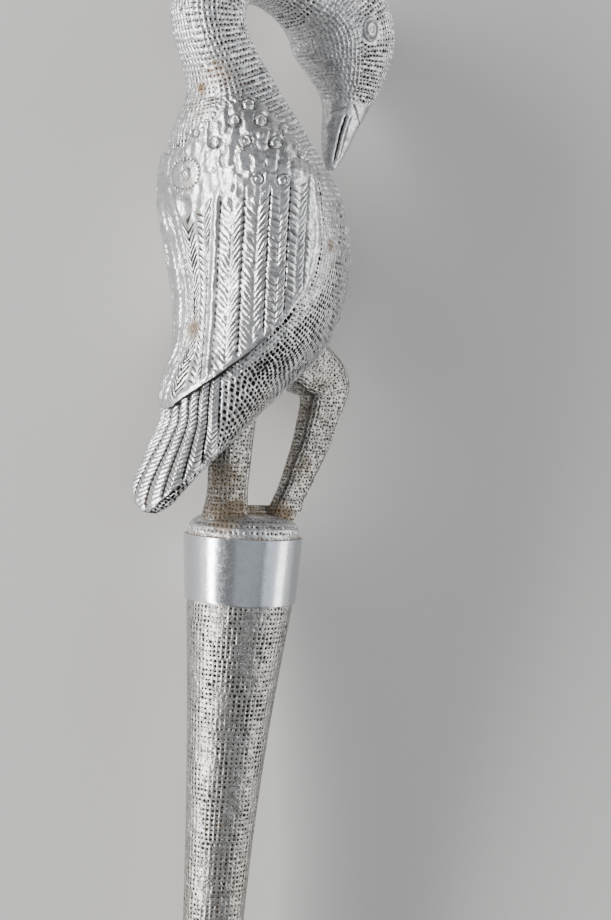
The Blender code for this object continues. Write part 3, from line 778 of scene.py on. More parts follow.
class Surface:
    """A surface that rows of dots are punched into.

    A band of rows ends where the number of cells has drifted by DRIFT of itself, and the next starts LAP of
    a row later. A cell has at most MOST_ROWS grid rows, and one lower than SMALLEST gets no dot.
    """

    DRIFT = 0.07
    LAP = 0.08
    MOST_ROWS = 6
    SMALLEST = 0.5
    closed = True

    def grid(self, places: Array, shares: Array) -> Array:
        """Points of the surface, one row for each place."""
        raise NotImplementedError

    def widths(self, places: Array) -> Array:
        """The length of the row at each place."""
        raise NotImplementedError

    def dotted(self, middles: Array, size: Array) -> Array:
        """Whether each cell may get a dot, from its middle and its height."""
        return size > self.SMALLEST

    def bold(self, middles: Array) -> Array:
        """How large the dots are beside the usual ones."""
        return np.ones(len(middles))

    def punch(self, data: MeshData, places: Array, punching: Punching) -> None:
        """Covers the surface with rows of dots.

        Args:
            data: The mesh that grows.
            places: Where the rows' borders are.
            punching: The dots' sizes.
        """
        chance = np.random.default_rng(punching.seed)
        wanted = self.widths(places) / punching.pitch
        bands, start, count = [], 0, int(round(wanted[0]))
        for i in range(1, len(places)):
            if abs(wanted[i] - count) > max(1.0, self.DRIFT * count) or i == len(places) - 1:
                bands.append((start, i, max(int(round(wanted[(start + i) // 2])), 6)))
                start, count = i, int(round(wanted[i]))
        last: Optional[tuple[int, int]] = None
        for first, end, count in bands:
            rows = places[first:end + 1].astype(float).copy()
            if last is not None:
                rows[0] += (rows[1] - rows[0]) * self.LAP
            here = self._cells(data, rows, count, punching, chance)
            if last is not None:
                self._zip(data, last, (here[0], count))
            last = (here[1], count)

    @staticmethod
    def _bridge(rows: int) -> Array:
        """Triangles between a cell's border and the dot's hexagon.

        Args:
            rows: How many grid rows the cell spans.

        Returns:
            Triangles by index, with the border's points first and then the six of the hexagon.
        """
        side = np.linspace(-1, 1, rows + 1)
        border = [(-1.0, -1.0)] + [(1.0, y) for y in side] + [(-1.0, y) for y in side[:0:-1]]
        turns = [math.atan2(y, x) % (2 * math.pi) for x, y in border]
        first = int(np.argmin(turns))
        m = len(border)
        outer = [((first + k) % m, turns[(first + k) % m]) for k in range(m)]
        outer.append((first, turns[first] + 2 * math.pi))
        inner = [(m + k % 6, k * math.pi / 3) for k in range(7)]
        faces, i, k = [], 0, 0
        while i < m or k < 6:
            if k >= 6 or (i < m and outer[i + 1][1] <= inner[k + 1][1]):
                faces.append((outer[i][0], outer[i + 1][0], inner[k][0]))
                i += 1
            else:
                faces.append((outer[i][0], inner[k + 1][0], inner[k][0]))
                k += 1
        return np.array(faces)

    def _cells(self, data: MeshData, rows: Array, count: int, punching: Punching,
               chance: np.random.Generator) -> tuple[int, int]:
        """One band of cells, each over as many grid rows as make up the pitch.

        Args:
            data: The mesh that grows.
            rows: The places of the rows' borders.
            count: Cells in a row.
            punching: The dots' sizes.
            chance: The source of the hand's unevenness.

        Returns:
            The index of the first border's first point and of the last border's.
        """
        columns = count if self.closed else count + 1
        grid = self.grid(rows, np.arange(columns) / count)
        n = len(rows) - 1
        index = data.add(grid, np.zeros((0, 3), int)) + np.arange((n + 1) * columns).reshape(n + 1, columns)
        after = (np.arange(count) + 1) % columns
        left, right = grid[:, :count], grid[:, after]
        height = np.linalg.norm(left[1:] - left[:-1] + right[1:] - right[:-1], axis=-1) / 2
        start, reach = np.zeros(count, int), np.zeros(count)
        groups: dict[int, list[tuple[int, int]]] = {}
        for i in range(n):
            reach += height[i]
            full = reach + 0.4 * height[min(i + 1, n - 1)] > punching.pitch
            done = full | (i == n - 1) | (i - start == self.MOST_ROWS - 1)
            for j in np.flatnonzero(done):
                groups.setdefault(i + 1 - start[j], []).append((start[j], j))
            start[done], reach[done] = i + 1, 0
        for span, cells in sorted(groups.items()):
            self._dots(data, grid, index, span, np.array(cells), punching, chance)
        return int(index[0, 0]), int(index[-1, 0])

    def _dots(self, data: MeshData, grid: Array, index: Array, span: int, cells: Array, punching: Punching,
              chance: np.random.Generator) -> None:
        """The cells that span one number of grid rows, with their dots.

        Args:
            data: The mesh that grows.
            grid: The band's points.
            index: Their indices in the mesh.
            span: How many grid rows each cell spans.
            cells: The lower row and the column of each cell.
            punching: The dots' sizes.
            chance: The source of the hand's unevenness.
        """
        low, j = cells.T
        k = (j + 1) % grid.shape[1]
        ways = [(low, j)] + [(low + s, k) for s in range(span + 1)]
        ways += [(low + s, j) for s in range(span, 0, -1)]
        border = np.stack([index[way] for way in ways], axis=-1)
        a, b, c, d = grid[low, j], grid[low, k], grid[low + span, k], grid[low + span, j]
        sideways, upwards = unit(b + c - a - d), c + d - a - b
        height = np.linalg.norm(upwards, axis=-1) / 2
        outward = unit(np.cross(sideways, unit(upwards)))
        upwards = np.cross(outward, sideways)
        middle = (a + b + c + d) / 4 - outward * punching.dish
        dotted = self.dotted(middle, height)
        fan = np.array([(0, s, s + 1) for s in range(1, border.shape[1] - 1)])
        data.join(border[~dotted][:, fan].reshape(-1, 3))
        border, middle, height = border[dotted], middle[dotted], height[dotted]
        sideways, upwards, outward = sideways[dotted], upwards[dotted], outward[dotted]
        m = len(border)
        room = np.minimum(height / (0.8 * punching.pitch), 1.0)[:, None, None]
        jitter = chance.normal(0, punching.scatter, (m, 2, 1)) * punching.pitch / 2 * room
        middle = middle + sideways * jitter[:, 0] + upwards * jitter[:, 1]
        bold = self.bold(middle)[:, None, None]
        uneven = 1 + punching.mouth_spread * chance.normal(0, 1, (m, 1, 1))
        mouth = punching.mouth * bold * uneven.clip(0.5, 1.5)
        uneven = 1 + punching.depth_spread * chance.normal(0, 1, (m, 1))
        depth = punching.depth * bold[..., 0] * uneven.clip(0.4, 1.8)
        angle = np.radians(np.arange(0, 360, 60))[None, :, None]
        ring = middle[:, None] + mouth * (np.cos(angle) * sideways[:, None]
                                          + room * np.sin(angle) * upwards[:, None])
        # Each dot is painted with shade: half at its rim and fully at its bottom, darker for bolder dots
        tone = bold[:, 0, 0].clip(0.6, 1.3)
        rim = data.add(ring, np.zeros((0, 3), int), (0.50 * tone).repeat(6)) + np.arange(m * 6).reshape(m, 6)
        pit = data.add(middle - outward * depth, np.zeros((0, 3), int), tone) + np.arange(m)
        data.join(np.concatenate([border, rim], axis=1)[:, self._bridge(span)].reshape(-1, 3))
        for s in range(6):
            data.join(np.stack([rim[:, s], rim[:, (s + 1) % 6], pit], axis=-1))

    def _zip(self, data: MeshData, low: tuple[int, int], high: tuple[int, int]) -> None:
        """Joins two borders with different numbers of points.

        Args:
            data: The mesh that grows.
            low: The first point and the number of cells on one border.
            high: The same for the other border.
        """
        (a, m), (b, n) = low, high
        i = j = 0
        faces = []
        while i < m or j < n:
            here = (a + (i % m if self.closed else i), b + (j % n if self.closed else j))
            if j >= n or (i < m and (i + 1) / m <= (j + 1) / n):
                i += 1
                faces.append((here[0], a + (i % m if self.closed else i), here[1]))
            else:
                j += 1
                faces.append((here[0], b + (j % n if self.closed else j), here[1]))
        data.join(np.array(faces))


class FormSkin(Surface):
    """A stretch of the form, all round or between two borders beside the breast, in leaning rows."""

    ROUNDS = 3

    def __init__(self, form: Form, reach: Optional[Callable[[Array], Array]] = None,
                 lean: Curve = ((0, 0), (1, 0)), edge: Optional[Callable[[Array], Array]] = None,
                 bare: Optional[Callable[[Array], Array]] = None) -> None:
        """Keeps the form and what part of each ring it covers.

        Args:
            form: The form.
            reach: The share of each ring covered on each side of the breast, or None for all.
            lean: How steeply the rows fall towards the breast, by their place along the form.
            edge: How large the dots are at places of the skin, or None for all alike.
            bare: Whether a place of the skin has no dots, or None.
        """
        self.form, self.lean, self.edge, self.bare = form, lean, edge, bare
        self.closed = reach is None
        self.steps = np.arange(form.places[0], form.places[-1] + form.STEP, form.STEP)
        self.reaches = reach(self.steps) if reach else np.full(len(self.steps), 0.5)

    def covered(self, places: Array) -> Array:
        """The share of each ring that is covered on each side."""
        return np.interp(places, self.steps, self.reaches)

    def grid(self, places: Array, shares: Array) -> Array:
        """Points of the skin in leaning rows, found in a few rounds.

        Args:
            places: Where the rows stand along the form.
            shares: Shares of the row's length.

        Returns:
            A point for each place and share.
        """
        turn = (np.where(shares > 0.5, shares - 1, shares) * 2 if self.closed else 2 * shares - 1)[None, :]
        level = np.broadcast_to(places[:, None], (len(places), turn.shape[1]))
        fall = along(self.lean, places)[:, None]
        middle = self.form.ribs(places)[:, 1:2]
        at = level
        for _ in range(self.ROUNDS):
            points = self.form.skin(at, turn * self.covered(at))
            at = np.maximum(level - fall * (points[..., 0] - middle), self.steps[0])
        return self.form.skin(at, turn * self.covered(at))

    def widths(self, places: Array) -> Array:
        """The length that is covered of each ring."""
        return self.form.girths(places) * 2 * self.covered(places)

    def dotted(self, middles: Array, size: Array) -> Array:
        """Dots everywhere but on the bare places."""
        good = super().dotted(middles, size)
        return good & ~self.bare(middles) if self.bare else good

    def bold(self, middles: Array) -> Array:
        """How large the dots are, larger along some borders."""
        return self.edge(middles) if self.edge else super().bold(middles)


class Turned(Surface):
    """A surface turned about the staff's axis, along a profile of (radius, up, shift forward)."""

    PATCHES = Ripple(41, 13.0, (0.7, 2.6))
    PATCH_RADIUS = 14.0
    PATCH_LIMITS = (0.66, 1.06)

    def __init__(self, profile: Array, patches: float = 0.0) -> None:
        """Keeps the profile with the way along it.

        Args:
            profile: The points of (radius, up, shift forward).
            patches: How much smaller and larger the dots are in patches.
        """
        self.profile, self.patches = np.asarray(profile, float), patches
        step = np.linalg.norm(np.diff(self.profile[:, :2], axis=0), axis=1)
        self.way = np.concatenate([[0], np.cumsum(step)])

    def at(self, places: Array) -> Array:
        """The profile at places along it."""
        return np.stack([np.interp(places, self.way, self.profile[:, k]) for k in range(3)], axis=-1)

    def grid(self, places: Array, shares: Array) -> Array:
        """Points of the surface.

        Args:
            places: Where the rows stand along the profile.
            shares: Shares of a turn.

        Returns:
            A point for each place and share.
        """
        radius, up, shift = (self.at(places)[:, k:k + 1] for k in range(3))
        turn = 2 * math.pi * shares[None, :]
        return np.stack([shift + radius * np.cos(turn), radius * np.sin(turn), up + 0 * turn], axis=-1)

    def widths(self, places: Array) -> Array:
        """The length of each ring."""
        return 2 * math.pi * self.at(places)[:, 0]

    def bold(self, middles: Array) -> Array:
        """How large the dots are, by patches.

        Args:
            middles: The middles of the cells.

        Returns:
            The size of each dot beside the usual one.
        """
        across = self.PATCH_RADIUS * np.arctan2(middles[:, 1], middles[:, 0])
        uneven = self.PATCHES.at(across, middles[:, 2]) - 0.5
        return (1 + self.patches * uneven).clip(*self.PATCH_LIMITS)


def strip(data: MeshData, points: Array, closed: bool, pits: Union[Array, float] = 0.0,
          crests: Union[Array, float] = 0.0) -> Array:
    """Adds a grid of points as a plain surface.

    Args:
        data: The mesh that grows.
        points: Rows of points.
        closed: Whether each row closes on itself.
        pits: How deep in a hollow each point is, which the finish paints as shade.
        crests: How far on a crest each point is.

    Returns:
        The indices of the points.
    """
    n, m = points.shape[:2]
    index = np.arange(n * m).reshape(n, m)
    right = np.roll(index, -1, axis=1) if closed else index[:, 1:]
    left = index if closed else index[:, :-1]
    a, b, c, d = left[:-1], right[:-1], right[1:], left[1:]
    faces = np.concatenate([np.stack(f, axis=-1).reshape(-1, 3) for f in ((a, b, c), (a, c, d))])
    return index + data.add(points, faces, pits, crests)


def cap(data: MeshData, ring: Array, flip: bool) -> None:
    """Closes a ring of points with a fan to its middle.

    Args:
        data: The mesh that grows.
        ring: Indices of the ring's points.
        flip: Whether the fan faces the other way.
    """
    cloud = np.concatenate(data.points)
    middle = data.add(cloud[ring].mean(axis=0), np.zeros((0, 3), int))
    after = np.roll(ring, -1)
    ends = (after, ring) if flip else (ring, after)
    data.join(np.stack([*ends, np.full(len(ring), middle)], axis=-1))


def normals_of(base: Array) -> Array:
    """Normals of points on the bird's right half, along the middle of the back without a part to the side.

    Args:
        base: Rows of points, with the middle of the back first in each.

    Returns:
        A normal for each point, turned outward, of any length along the back.
    """
    outward = unit(np.cross(np.gradient(base, axis=1), np.gradient(base, axis=0)))
    middle = base.mean(axis=1, keepdims=True) * [1, 0, 1]
    outward *= np.sign((outward * (base - middle)).sum(-1, keepdims=True))
    outward[:, 0, 1] = 0
    return outward


@dataclass(frozen=True)
class Drape:
    """A table of points and normals over one half of the form, at even heights."""

    steps: Array
    base: Array
    outward: Array
    right: int

    def look_up(self, table: Array, up: Array) -> Array:
        """Values of a table, column by column.

        Args:
            table: The table, with three values for each step and column.
            up: The heights that are wanted in each column.

        Returns:
            Three values for each height.
        """
        found = [[np.interp(column, self.steps, table[:, j, k]) for k in range(3)]
                 for j, column in enumerate(up.T)]
        return np.array(found).transpose(2, 0, 1)

    def lay(self, data: MeshData, up: Array, relief: "Relief", depth: float, sides: Sequence[tuple],
            shade: tuple[float, float]) -> None:
        """Adds a carved sheet and the walls that join its borders to the form beneath.

        Args:
            data: The mesh that grows.
            up: The heights of the sheet's points.
            relief: Its relief.
            depth: How far under the form the walls reach.
            sides: The borders that get a wall, each as an index into the points.
            shade: How deep in a hollow the top and the foot of a wall are, which the finish paints as shade.
        """
        mirror = np.array([1.0, self.right, 1.0])
        points = self.look_up(self.base, up) * mirror
        normals = unit(self.look_up(self.outward, up)) * mirror
        skin = points + normals * relief.height[..., None]
        under = points - normals * depth
        order = slice(None, None, self.right)
        strip(data, skin[:, order], False, relief.pit[:, order], relief.crest[:, order])
        for side in sides:
            wall = np.stack([skin[side], under[side]][::self.right])
            strip(data, wall, False, np.repeat(shade[::self.right], wall.shape[1]))


@dataclass
class Relief:
    """Heights over the form, how deep in a hollow each point is, painted as shade, and how far on a crest."""

    height: Array
    pit: Array
    crest: Array

    def cut(self, line: Array, depth: float, dark: float) -> None:
        """Cuts a groove along a line, with painted shade in it."""
        self.height = self.height - depth * line
        self.pit = np.maximum(self.pit, dark * line)


@dataclass
class Body:
    """The bird's dotted skin: the belly and breast beside the wings, the neck, the head and the beak."""

    form: Form
    punching: Punching = Punching(pitch=2.1, mouth=0.60, depth=0.65, scatter=0.09, seed=3, dish=0.17)
    fine: Punching = Punching(pitch=1.95, mouth=0.52, depth=0.50, scatter=0.12, seed=4, dish=0.24)
    tail_end: float = 9.45
    belly_from: float = 9.7
    belly_rows: int = 140
    full_from: float = 150.0
    beak_from: float = 185.0
    tip: Curve = ((0.94, 0.35), (0.80, 0.75), (0.58, 1.05), (0.30, 1.20))
    gape: Curve = ((27.4, 180.8), (33.3, 183.6), (35.0, 186.8), (37.6, 182.5), (40.3, 176.6))
    tail_border: float = -12.7
    wing_edge: Curve = ((50.5, -45), (51.5, -32), *((up, across) for across, up in WING_LINE), (138, 22.5),
                        (152, 20))
    groove: float = 0.42
    mouth_share: float = 0.168
    mouth_top: float = 180.5
    mouth_foot: float = 158.5
    eye: tuple[float, float, float] = (38.5, 19.0, 215.5)
    eye_clear: float = 6.0
    eye_corners: int = 48
    # Rings of an eye: radius, rise, and how far each is in a hollow, painted as shade, and on a crest
    eye_steps: tuple[tuple[float, float, float, float], ...] = (
        (5.4, -1.6, 0, 0), (5.1, -0.10, 0.45, 0), (4.7, 0.25, 0.2, 0.4), (4.35, 0.50, 0, 1),
        (4.05, 0.35, 0.40, 0.6), (3.8, 0.06, 0.49, 0), (3.0, 0.06, 0.49, 0), (2.75, 0.40, 0.40, 0),
        (2.4, 0.75, 0, 0.8), (1.9, 0.85, 0, 1), (1.5, 0.55, 0.4, 0.3), (1.2, 0.45, 0.50, 0),
        (0.8, 0.60, 0.3, 0), (0.3, 0.80, 0, 0.5))
    lean: Curve = ((9, 0.45), (30, 0.75), (65, 0.7), (95, 0.25), (115, 0), (150, -0.2), (175, -0.45),
                   (198, -0.4), (214, 0), (240, 0))
    beside_wing: Curve = ((50, -43), (52, -30), (58, -21), (66, -10), (74, -1), (81, 6), (90, 14),
                          (99.5, 20.5), (108, 24), (121, 26.6), (138, 25), (152, 22.5), (161.5, 14.5),
                          (168.5, 8.5), (176, 2))

    def reach(self, places: Array) -> Array:
        """How far round the skin goes on each side of the breast, to under the wing or the tail's border.

        Args:
            places: Places along the form.

        Returns:
            The share of each ring that is covered on each side.
        """
        edge = np.maximum(along(self.wing_edge, places), self.tail_border + 1.2) - 1.2
        edge = np.where(places < 62, np.minimum(self.tail_border, places - 48.6), edge)
        return self.form.quarter(places, edge[:, None])[1][:, 0]

    def bare(self, middles: Array) -> Array:
        """Where there are no dots: round the eyes and from the start of the beak.

        Args:
            middles: The middles of the cells.

        Returns:
            Whether each cell is bare.
        """
        away = [np.linalg.norm(middles - np.array([self.eye[0], side * self.eye[1], self.eye[2]]), axis=-1)
                for side in (1, -1)]
        mouth = along(self.gape, across_quarter(middles)) + 1.0
        return (np.minimum(*away) < self.eye_clear) | ((middles[:, 0] > 20) & (middles[:, 2] < mouth))

    def gape_line(self, points: Array) -> Array:
        """How near points of the beak are to the lines behind the mouth.

        Args:
            points: Points of the beak.

        Returns:
            One on the lines, nought away from them.
        """
        across, up = across_quarter(points), points[..., 2]
        near = np.full(across.shape, 9.0)
        for (q, u), (r, v) in zip(self.gape, self.gape[1:]):
            share = ((across - q) * (r - q) + (up - u) * (v - u)) / ((r - q) ** 2 + (v - u) ** 2)
            share = np.clip(share, 0, 1)
            near = np.minimum(near, np.hypot(across - q - share * (r - q), up - u - share * (v - u)))
        return bell(near, self.groove)

    def place_of_beak(self) -> float:
        """Where along the form the smooth beak starts."""
        late = self.form.places > 250
        return float(np.interp(-self.beak_from, -self.form.table[late, 0], self.form.places[late]))

    def bold(self, middles: Array) -> Array:
        """How large the dots are: bold in a row along the wing and towards the breast's outline.

        Args:
            middles: The middles of the cells.

        Returns:
            The size of each dot beside the usual one.
        """
        across, up = across_quarter(middles), middles[:, 2]
        away = np.abs(across - along(self.beside_wing, up))
        far = np.maximum(ramp(away, 3.5, 8.0), 0.6 * ramp(-up, -62, -48))
        size = np.maximum(1.15 * bell(away, 1.1), 0.74 + 0.50 * far)
        size = np.where(up > 160, 0.96, size)
        head = (middles[:, 0] > 12) & (up > 170)
        return np.where(head, 0.67 + 0.37 * ramp(across, 34, 41), size)

    def build_belly(self) -> bpy.types.Object:
        """The tail's underside, the belly and the breast.

        Returns:
            The piece.
        """
        data = MeshData()
        step = (self.full_from - self.belly_from) / self.belly_rows
        rows = np.arange(self.form.places[0] + 0.4, self.full_from + 0.01, step)
        FormSkin(self.form, self.reach, self.lean, self.bold).punch(data, rows, self.punching)
        end = self.form.skin(np.array([[self.tail_end]]), np.linspace(-0.5, 0.5, 33)[None, :-1])
        ring = strip(data, end, True)[0]
        cap(data, ring, True)
        return data.build("belly", "bird", "punched_silver", PUNCHED_FINISH, CRISP)

    def build_neck(self) -> bpy.types.Object:
        """The upper body, the neck and the head up to the beak.

        Returns:
            The piece.
        """
        data = MeshData()
        end = self.place_of_beak()
        rows = np.linspace(self.full_from, end, int((end - self.full_from) / 0.95))
        FormSkin(self.form, lean=self.lean, edge=self.bold, bare=self.bare).punch(data, rows, self.fine)
        return data.build("neck_and_head", "bird", "punched_silver", PUNCHED_FINISH, CRISP)

    def build_beak(self) -> bpy.types.Object:
        """The smooth beak with its mouth line, and the eyes.

        Returns:
            The piece.
        """
        data = MeshData()
        start, end = self.place_of_beak(), float(self.form.places[-1])
        places = np.linspace(start - 1.0, end, 100)
        shares = np.linspace(-0.5, 0.5, 161)[:-1]
        grid = self.form.skin(places[:, None], shares[None, :])
        outward = unit(grid - grid.mean(axis=1, keepdims=True))
        up = grid[..., 2]
        girth = self.form.girths(places)[:, None]
        side = (np.abs(shares)[None, :] - self.mouth_share) * girth
        room = np.clip((self.mouth_top - up) / 1.5, 0, 1) * np.clip((up - self.mouth_foot) / 3, 0, 1)
        ragged = side + 0.10 * np.sin(up * 4.1) + 0.10 * np.sin(up * 1.7)
        groove = bell(ragged, self.groove) * room
        ridge = (bell(side - 1.35, 0.7) + bell(side + 1.35, 0.7)) * room
        size = np.clip(girth / 40, 0.3, 1)
        gape, second = self.gape_line(grid), bell(side - 2.6, 0.35) * room
        rise = (-0.95 * groove + 0.42 * ridge - 0.4 * second) * size + 0.03 - 0.40 * gape
        rise = rise * np.clip((places[:, None] - start + 1.0) / 1.2, 0, 1) - 0.05 * (places[:, None] < start)
        grid = grid + outward * rise[..., None]
        # Painted shade in the mouth line and in the lines behind it
        dark = np.maximum(groove, 0.6 * np.maximum(gape, second))
        last, middle = grid[-1], grid[-1].mean(axis=0)
        ahead = unit(middle - grid[-2].mean(axis=0))
        tip = np.array([middle + (last - middle) * share + ahead * way for share, way in self.tip])
        grid = np.concatenate([grid, tip])
        dark, ridge = (np.concatenate([part, np.zeros(tip.shape[:2])]) for part in (dark, ridge))
        index = strip(data, grid, True, dark, ridge * 0.8)
        cap(data, index[-1], False)
        for right in (1, -1):
            self.add_eye(data, right)
        return data.build("beak_and_eyes", "bird", "punched_silver", PUNCHED_FINISH)

    def add_eye(self, data: MeshData, right: int) -> None:
        """One eye: a raised ring round a smaller disc.

        Args:
            data: The mesh that grows.
            right: 1 for the right eye, -1 for the left one.
        """
        turn = np.linspace(0, 2 * math.pi, self.eye_corners + 1)[:-1] * -right
        middle = np.array([self.eye[0], right * self.eye[1], self.eye[2]])
        grid = np.array([middle + np.stack([radius * np.cos(turn) * 0.88, np.full(len(turn), right * rise),
                                            radius * np.sin(turn) * 1.04], axis=-1)
                         for radius, rise, _, _ in self.eye_steps])
        pits, crests = (np.repeat([step[k] for step in self.eye_steps], len(turn)) for k in (2, 3))
        index = strip(data, grid, True, pits, crests)
        cap(data, index[-1], False)


@dataclass(frozen=True)
class Plot:
    """The points of one wing in rows from its top down, before they are carved.

    The phase of the strokes is below nought above the long feathers, and room is the way to the edge.
    """

    FEATHERED = (-0.6, 2.2)

    up: Array
    place: Array
    room: Array
    phase: Array
    right: int

    @property
    def below(self) -> Array:
        """One on the long feathers and nought on the coverts."""
        return ramp(self.phase, *self.FEATHERED)

    @property
    def inner(self) -> Array:
        """Nought at the wing's edge and one further in."""
        return np.clip(self.room / 2, 0, 1)

    def about(self, spot: tuple[float, float]) -> tuple[Array, Array]:
        """How far across and up from a spot each point is."""
        return self.place - spot[0], self.up - spot[1]

    def ripple(self, seed: int, size: float, stretch: tuple[float, float] = (1.0, 1.0)) -> Array:
        """Soft unevenness at the points."""
        return Ripple(seed, size, stretch).at(self.place, self.up)


@dataclass
class Wing:
    """A folded wing: small rounded coverts above, long feathers with slanting strokes below."""

    HEIGHTS = (48, 186, 0.5)
    RING_CORNERS = 20

    form: Form
    borders: tuple[float, ...] = (-17.8, -14.3, -4.8, 4.7, 12.0, 18.7)
    front_edge: Curve = ((99.5, 18.9), (108, 22), (121, 24.4), (138, 22.5), (152, 20))
    lower_edge: Curve = ((-45, 53.2), (-28, 53.2), *WING_LINE)
    upper_edge: Curve = ((-45, 152), (-40, 155.5), (-31, 162.5), (-21, 168.5), (-16, 177), (-7, 178),
                         (0, 173.5), (6, 168.5), (12, 161.5), (20, 152), (22.5, 138), (24.4, 121))
    feather_top: Curve = ((-30, 132), (-18, 139), (-5, 141), (5, 143), (12, 146), (20, 149))
    far_lower_edge: Curve = ((-45, 53.2), (-28, 53.2), (-26, 52.3), (-22, 51.3), (-18, 53.0), (-12, 60),
                             (-3, 71), (4, 80.0), *WING_LINE[4:])
    rise: Curve = ((52, 3.0), (62, 2.6), (80, 1.9), (90, 1.7), (125, 1.5), (150, 1.1), (178, 0.7))
    far_top: float = 157.0
    wall: float = 0.8
    fold_depth: float = 0.14
    hammer_depth: float = 0.10
    scale_radius: float = 2.5
    ring_radius: float = 2.55
    bead_pitch: float = 2.7
    rosette_radius: float = 5.8
    rosette_ticks: int = 11
    rosette_width: float = 0.86
    dimple_size: tuple[float, float] = (3.0, 4.6)
    stroke_pitch: float = 2.7
    stroke_depth: float = 0.52
    rows_in_stroke: int = 6
    covert_rows: int = 88
    back_columns: int = 44
    fore_columns: int = 12
    spine: float = 0.56
    rings: Curve = ((-17.9, 157.6), (-11.2, 166.3), (-6.2, 157.9), (-6.1, 173.5), (-0.8, 167.2), (5.4, 158.4),
                    (8.7, 164.8), (16.5, 155.5), (-0.6, 143.1), (9.3, 143.3))
    scales: Curve = ((-17.9, 158), (-11.2, 166.3), (-6.2, 158), (-6.1, 173.5), (-0.8, 167.2), (5.4, 158.4),
                     (8.7, 166), (16.5, 155.5), (-0.6, 146), (9.3, 146), (-12.5, 150), (-19.5, 148),
                     (-11.5, 176), (-23, 160), (-6.5, 147.5), (4.6, 148.5), (14.5, 148), (0.5, 157))
    rosette: tuple[float, float] = (-28.6, 145.8)
    back_ring: tuple[float, float] = (-26.0, 161.9)
    nail: tuple[float, float] = (-26.1, 181.1)
    dimple: tuple[float, float] = (-28.6, 133.1)
    ring_steps: Curve = ((2.4, -0.6), (2.15, 0.2), (1.85, 0.5), (1.5, 0.2), (1.25, -0.15), (0.95, -0.1),
                         (0.6, 0.3), (0.1, 0.4))
    nail_steps: Curve = ((1.0, -0.66), (0.75, -0.60), (0.5, -0.62), (0.1, -0.9))
    back_ring_steps: Curve = ((3.0, -0.6), (2.7, 0.15), (2.2, 0.65), (1.7, 0.25), (1.4, -0.20), (1.0, -0.1),
                              (0.7, 0.45), (0.1, 0.5))
    rosette_steps: Curve = ((3.3, -0.2), (3.0, 0.75), (2.4, 1.25), (1.9, 0.95), (1.6, 0.10), (1.2, 0.15),
                            (0.8, 0.75), (0.1, 0.9))

    def columns(self) -> tuple[Array, Array, Array, Array, Array]:
        """Columns across the wing.

        Returns:
            Which stretch each is in (nought along the back, one in the middle, two along the front edge),
            its place there, how far down the strokes fall, the place within the half feather from border
            to spine (below nought where there is none), and how strong the strokes are.
        """
        parts: list[tuple[float, float, float, float, float]] = []
        for k in range(self.back_columns):
            x = k / self.back_columns
            rope, leaf = 1 - x / 0.45, 1 - abs(x - 0.74) / 0.26
            if x < 0.45:
                parts.append((0, x, 4.5 * rope, 1 - 0.5 * rope, 0.20 + 1.2 * float(ramp(rope, 0.1, 0.5))))
            else:
                parts.append((0, x, 3.4 * max(leaf, 0), 0.35 + 0.65 * max(leaf, 0), 0.95))
        for k in range(8):
            parts.append((1, self.borders[0] + (self.borders[1] - self.borders[0]) * k / 8, 0, -1, 0))
        for left, right in zip(self.borders[1:], self.borders[2:]):
            steps = int(round((right - left) / 0.45))
            for k in range(steps):
                x = k / steps
                x = x / self.spine if x < self.spine else (1 - x) / (1 - self.spine)
                parts.append((1, left + (right - left) * k / steps, 0.54 * (right - left) * x, x, 1))
        for k in range(self.fore_columns + 1):
            x = k / self.fore_columns
            parts.append((2, x, 2.4 * (1 - abs(2 * x - 1)), 1 - abs(2 * x - 1), 0.7))
        return tuple(np.array(column, float) for column in zip(*parts))

    def placed(self, stretch: Array, place: Array, up: Array) -> Array:
        """Where columns lie across the quarter view.

        Args:
            stretch: The stretch that each column is in.
            place: Its place there.
            up: Heights.

        Returns:
            The place of each column at each height.
        """
        back = self.form.back_line(up)[:, None]
        edge = along(self.front_edge, up)[:, None]
        behind = back + place * (self.borders[0] - back)
        before = self.borders[-1] + place * (edge - self.borders[-1])
        return np.where(stretch == 0, behind, np.where(stretch == 1, place, before))

    def levels(self, right: int) -> Plot:
        """The wing's points, from its upper edge to its lower one.

        Args:
            right: 1 for the right wing, -1 for the left one.

        Returns:
            The points.
        """
        stretch, share, drop, _, _ = self.columns()
        steps = np.arange(*self.HEIGHTS)
        table = self.placed(stretch, share, steps)
        bottom, top = np.full(len(share), 55.0), np.full(len(share), 160.0)
        for _ in range(20):
            at = np.array([[np.interp(b, steps, table[:, j]), np.interp(t, steps, table[:, j])]
                           for j, (b, t) in enumerate(zip(bottom, top))])
            lower = self.lower_edge if right > 0 else self.far_lower_edge
            bottom, top = along(lower, at[:, 0]), along(self.upper_edge, at[:, 1])
        fore = stretch == 2
        bottom = np.where(fore, self.front_edge[0][0], bottom)
        top = np.where(fore, self.front_edge[-1][0], top)
        if right < 0:
            top = np.where((stretch == 0) & (share == 0), top, np.minimum(top, self.far_top))
        first = np.minimum(along(self.feather_top, table[np.searchsorted(steps, 135.0)]), top)
        coverts = np.linspace(0, 1, self.covert_rows, endpoint=False)[:, None]
        upper = top + (first - top) * coverts
        step = self.stroke_pitch / self.rows_in_stroke
        count = int((first - bottom).max() / step) + 14
        run = np.arange(count)[:, None] * step
        lower = first - run - drop * np.minimum(run / 6, 1)
        up = np.concatenate([upper, np.maximum(lower, bottom)])
        above = upper - first
        phase = np.concatenate([-above - drop * np.minimum(above / 6, 1), np.broadcast_to(run, lower.shape)])
        place = np.stack([np.interp(up[:, j], steps, table[:, j]) for j in range(len(share))], axis=-1)
        room = np.minimum(0.75 * (up - bottom), top - up)
        front = along(self.front_edge, up)
        room = np.where(up < self.front_edge[-1][0], np.minimum(room, front - place), room)
        return Plot(up, place, np.maximum(room, 0), phase / self.stroke_pitch, right)

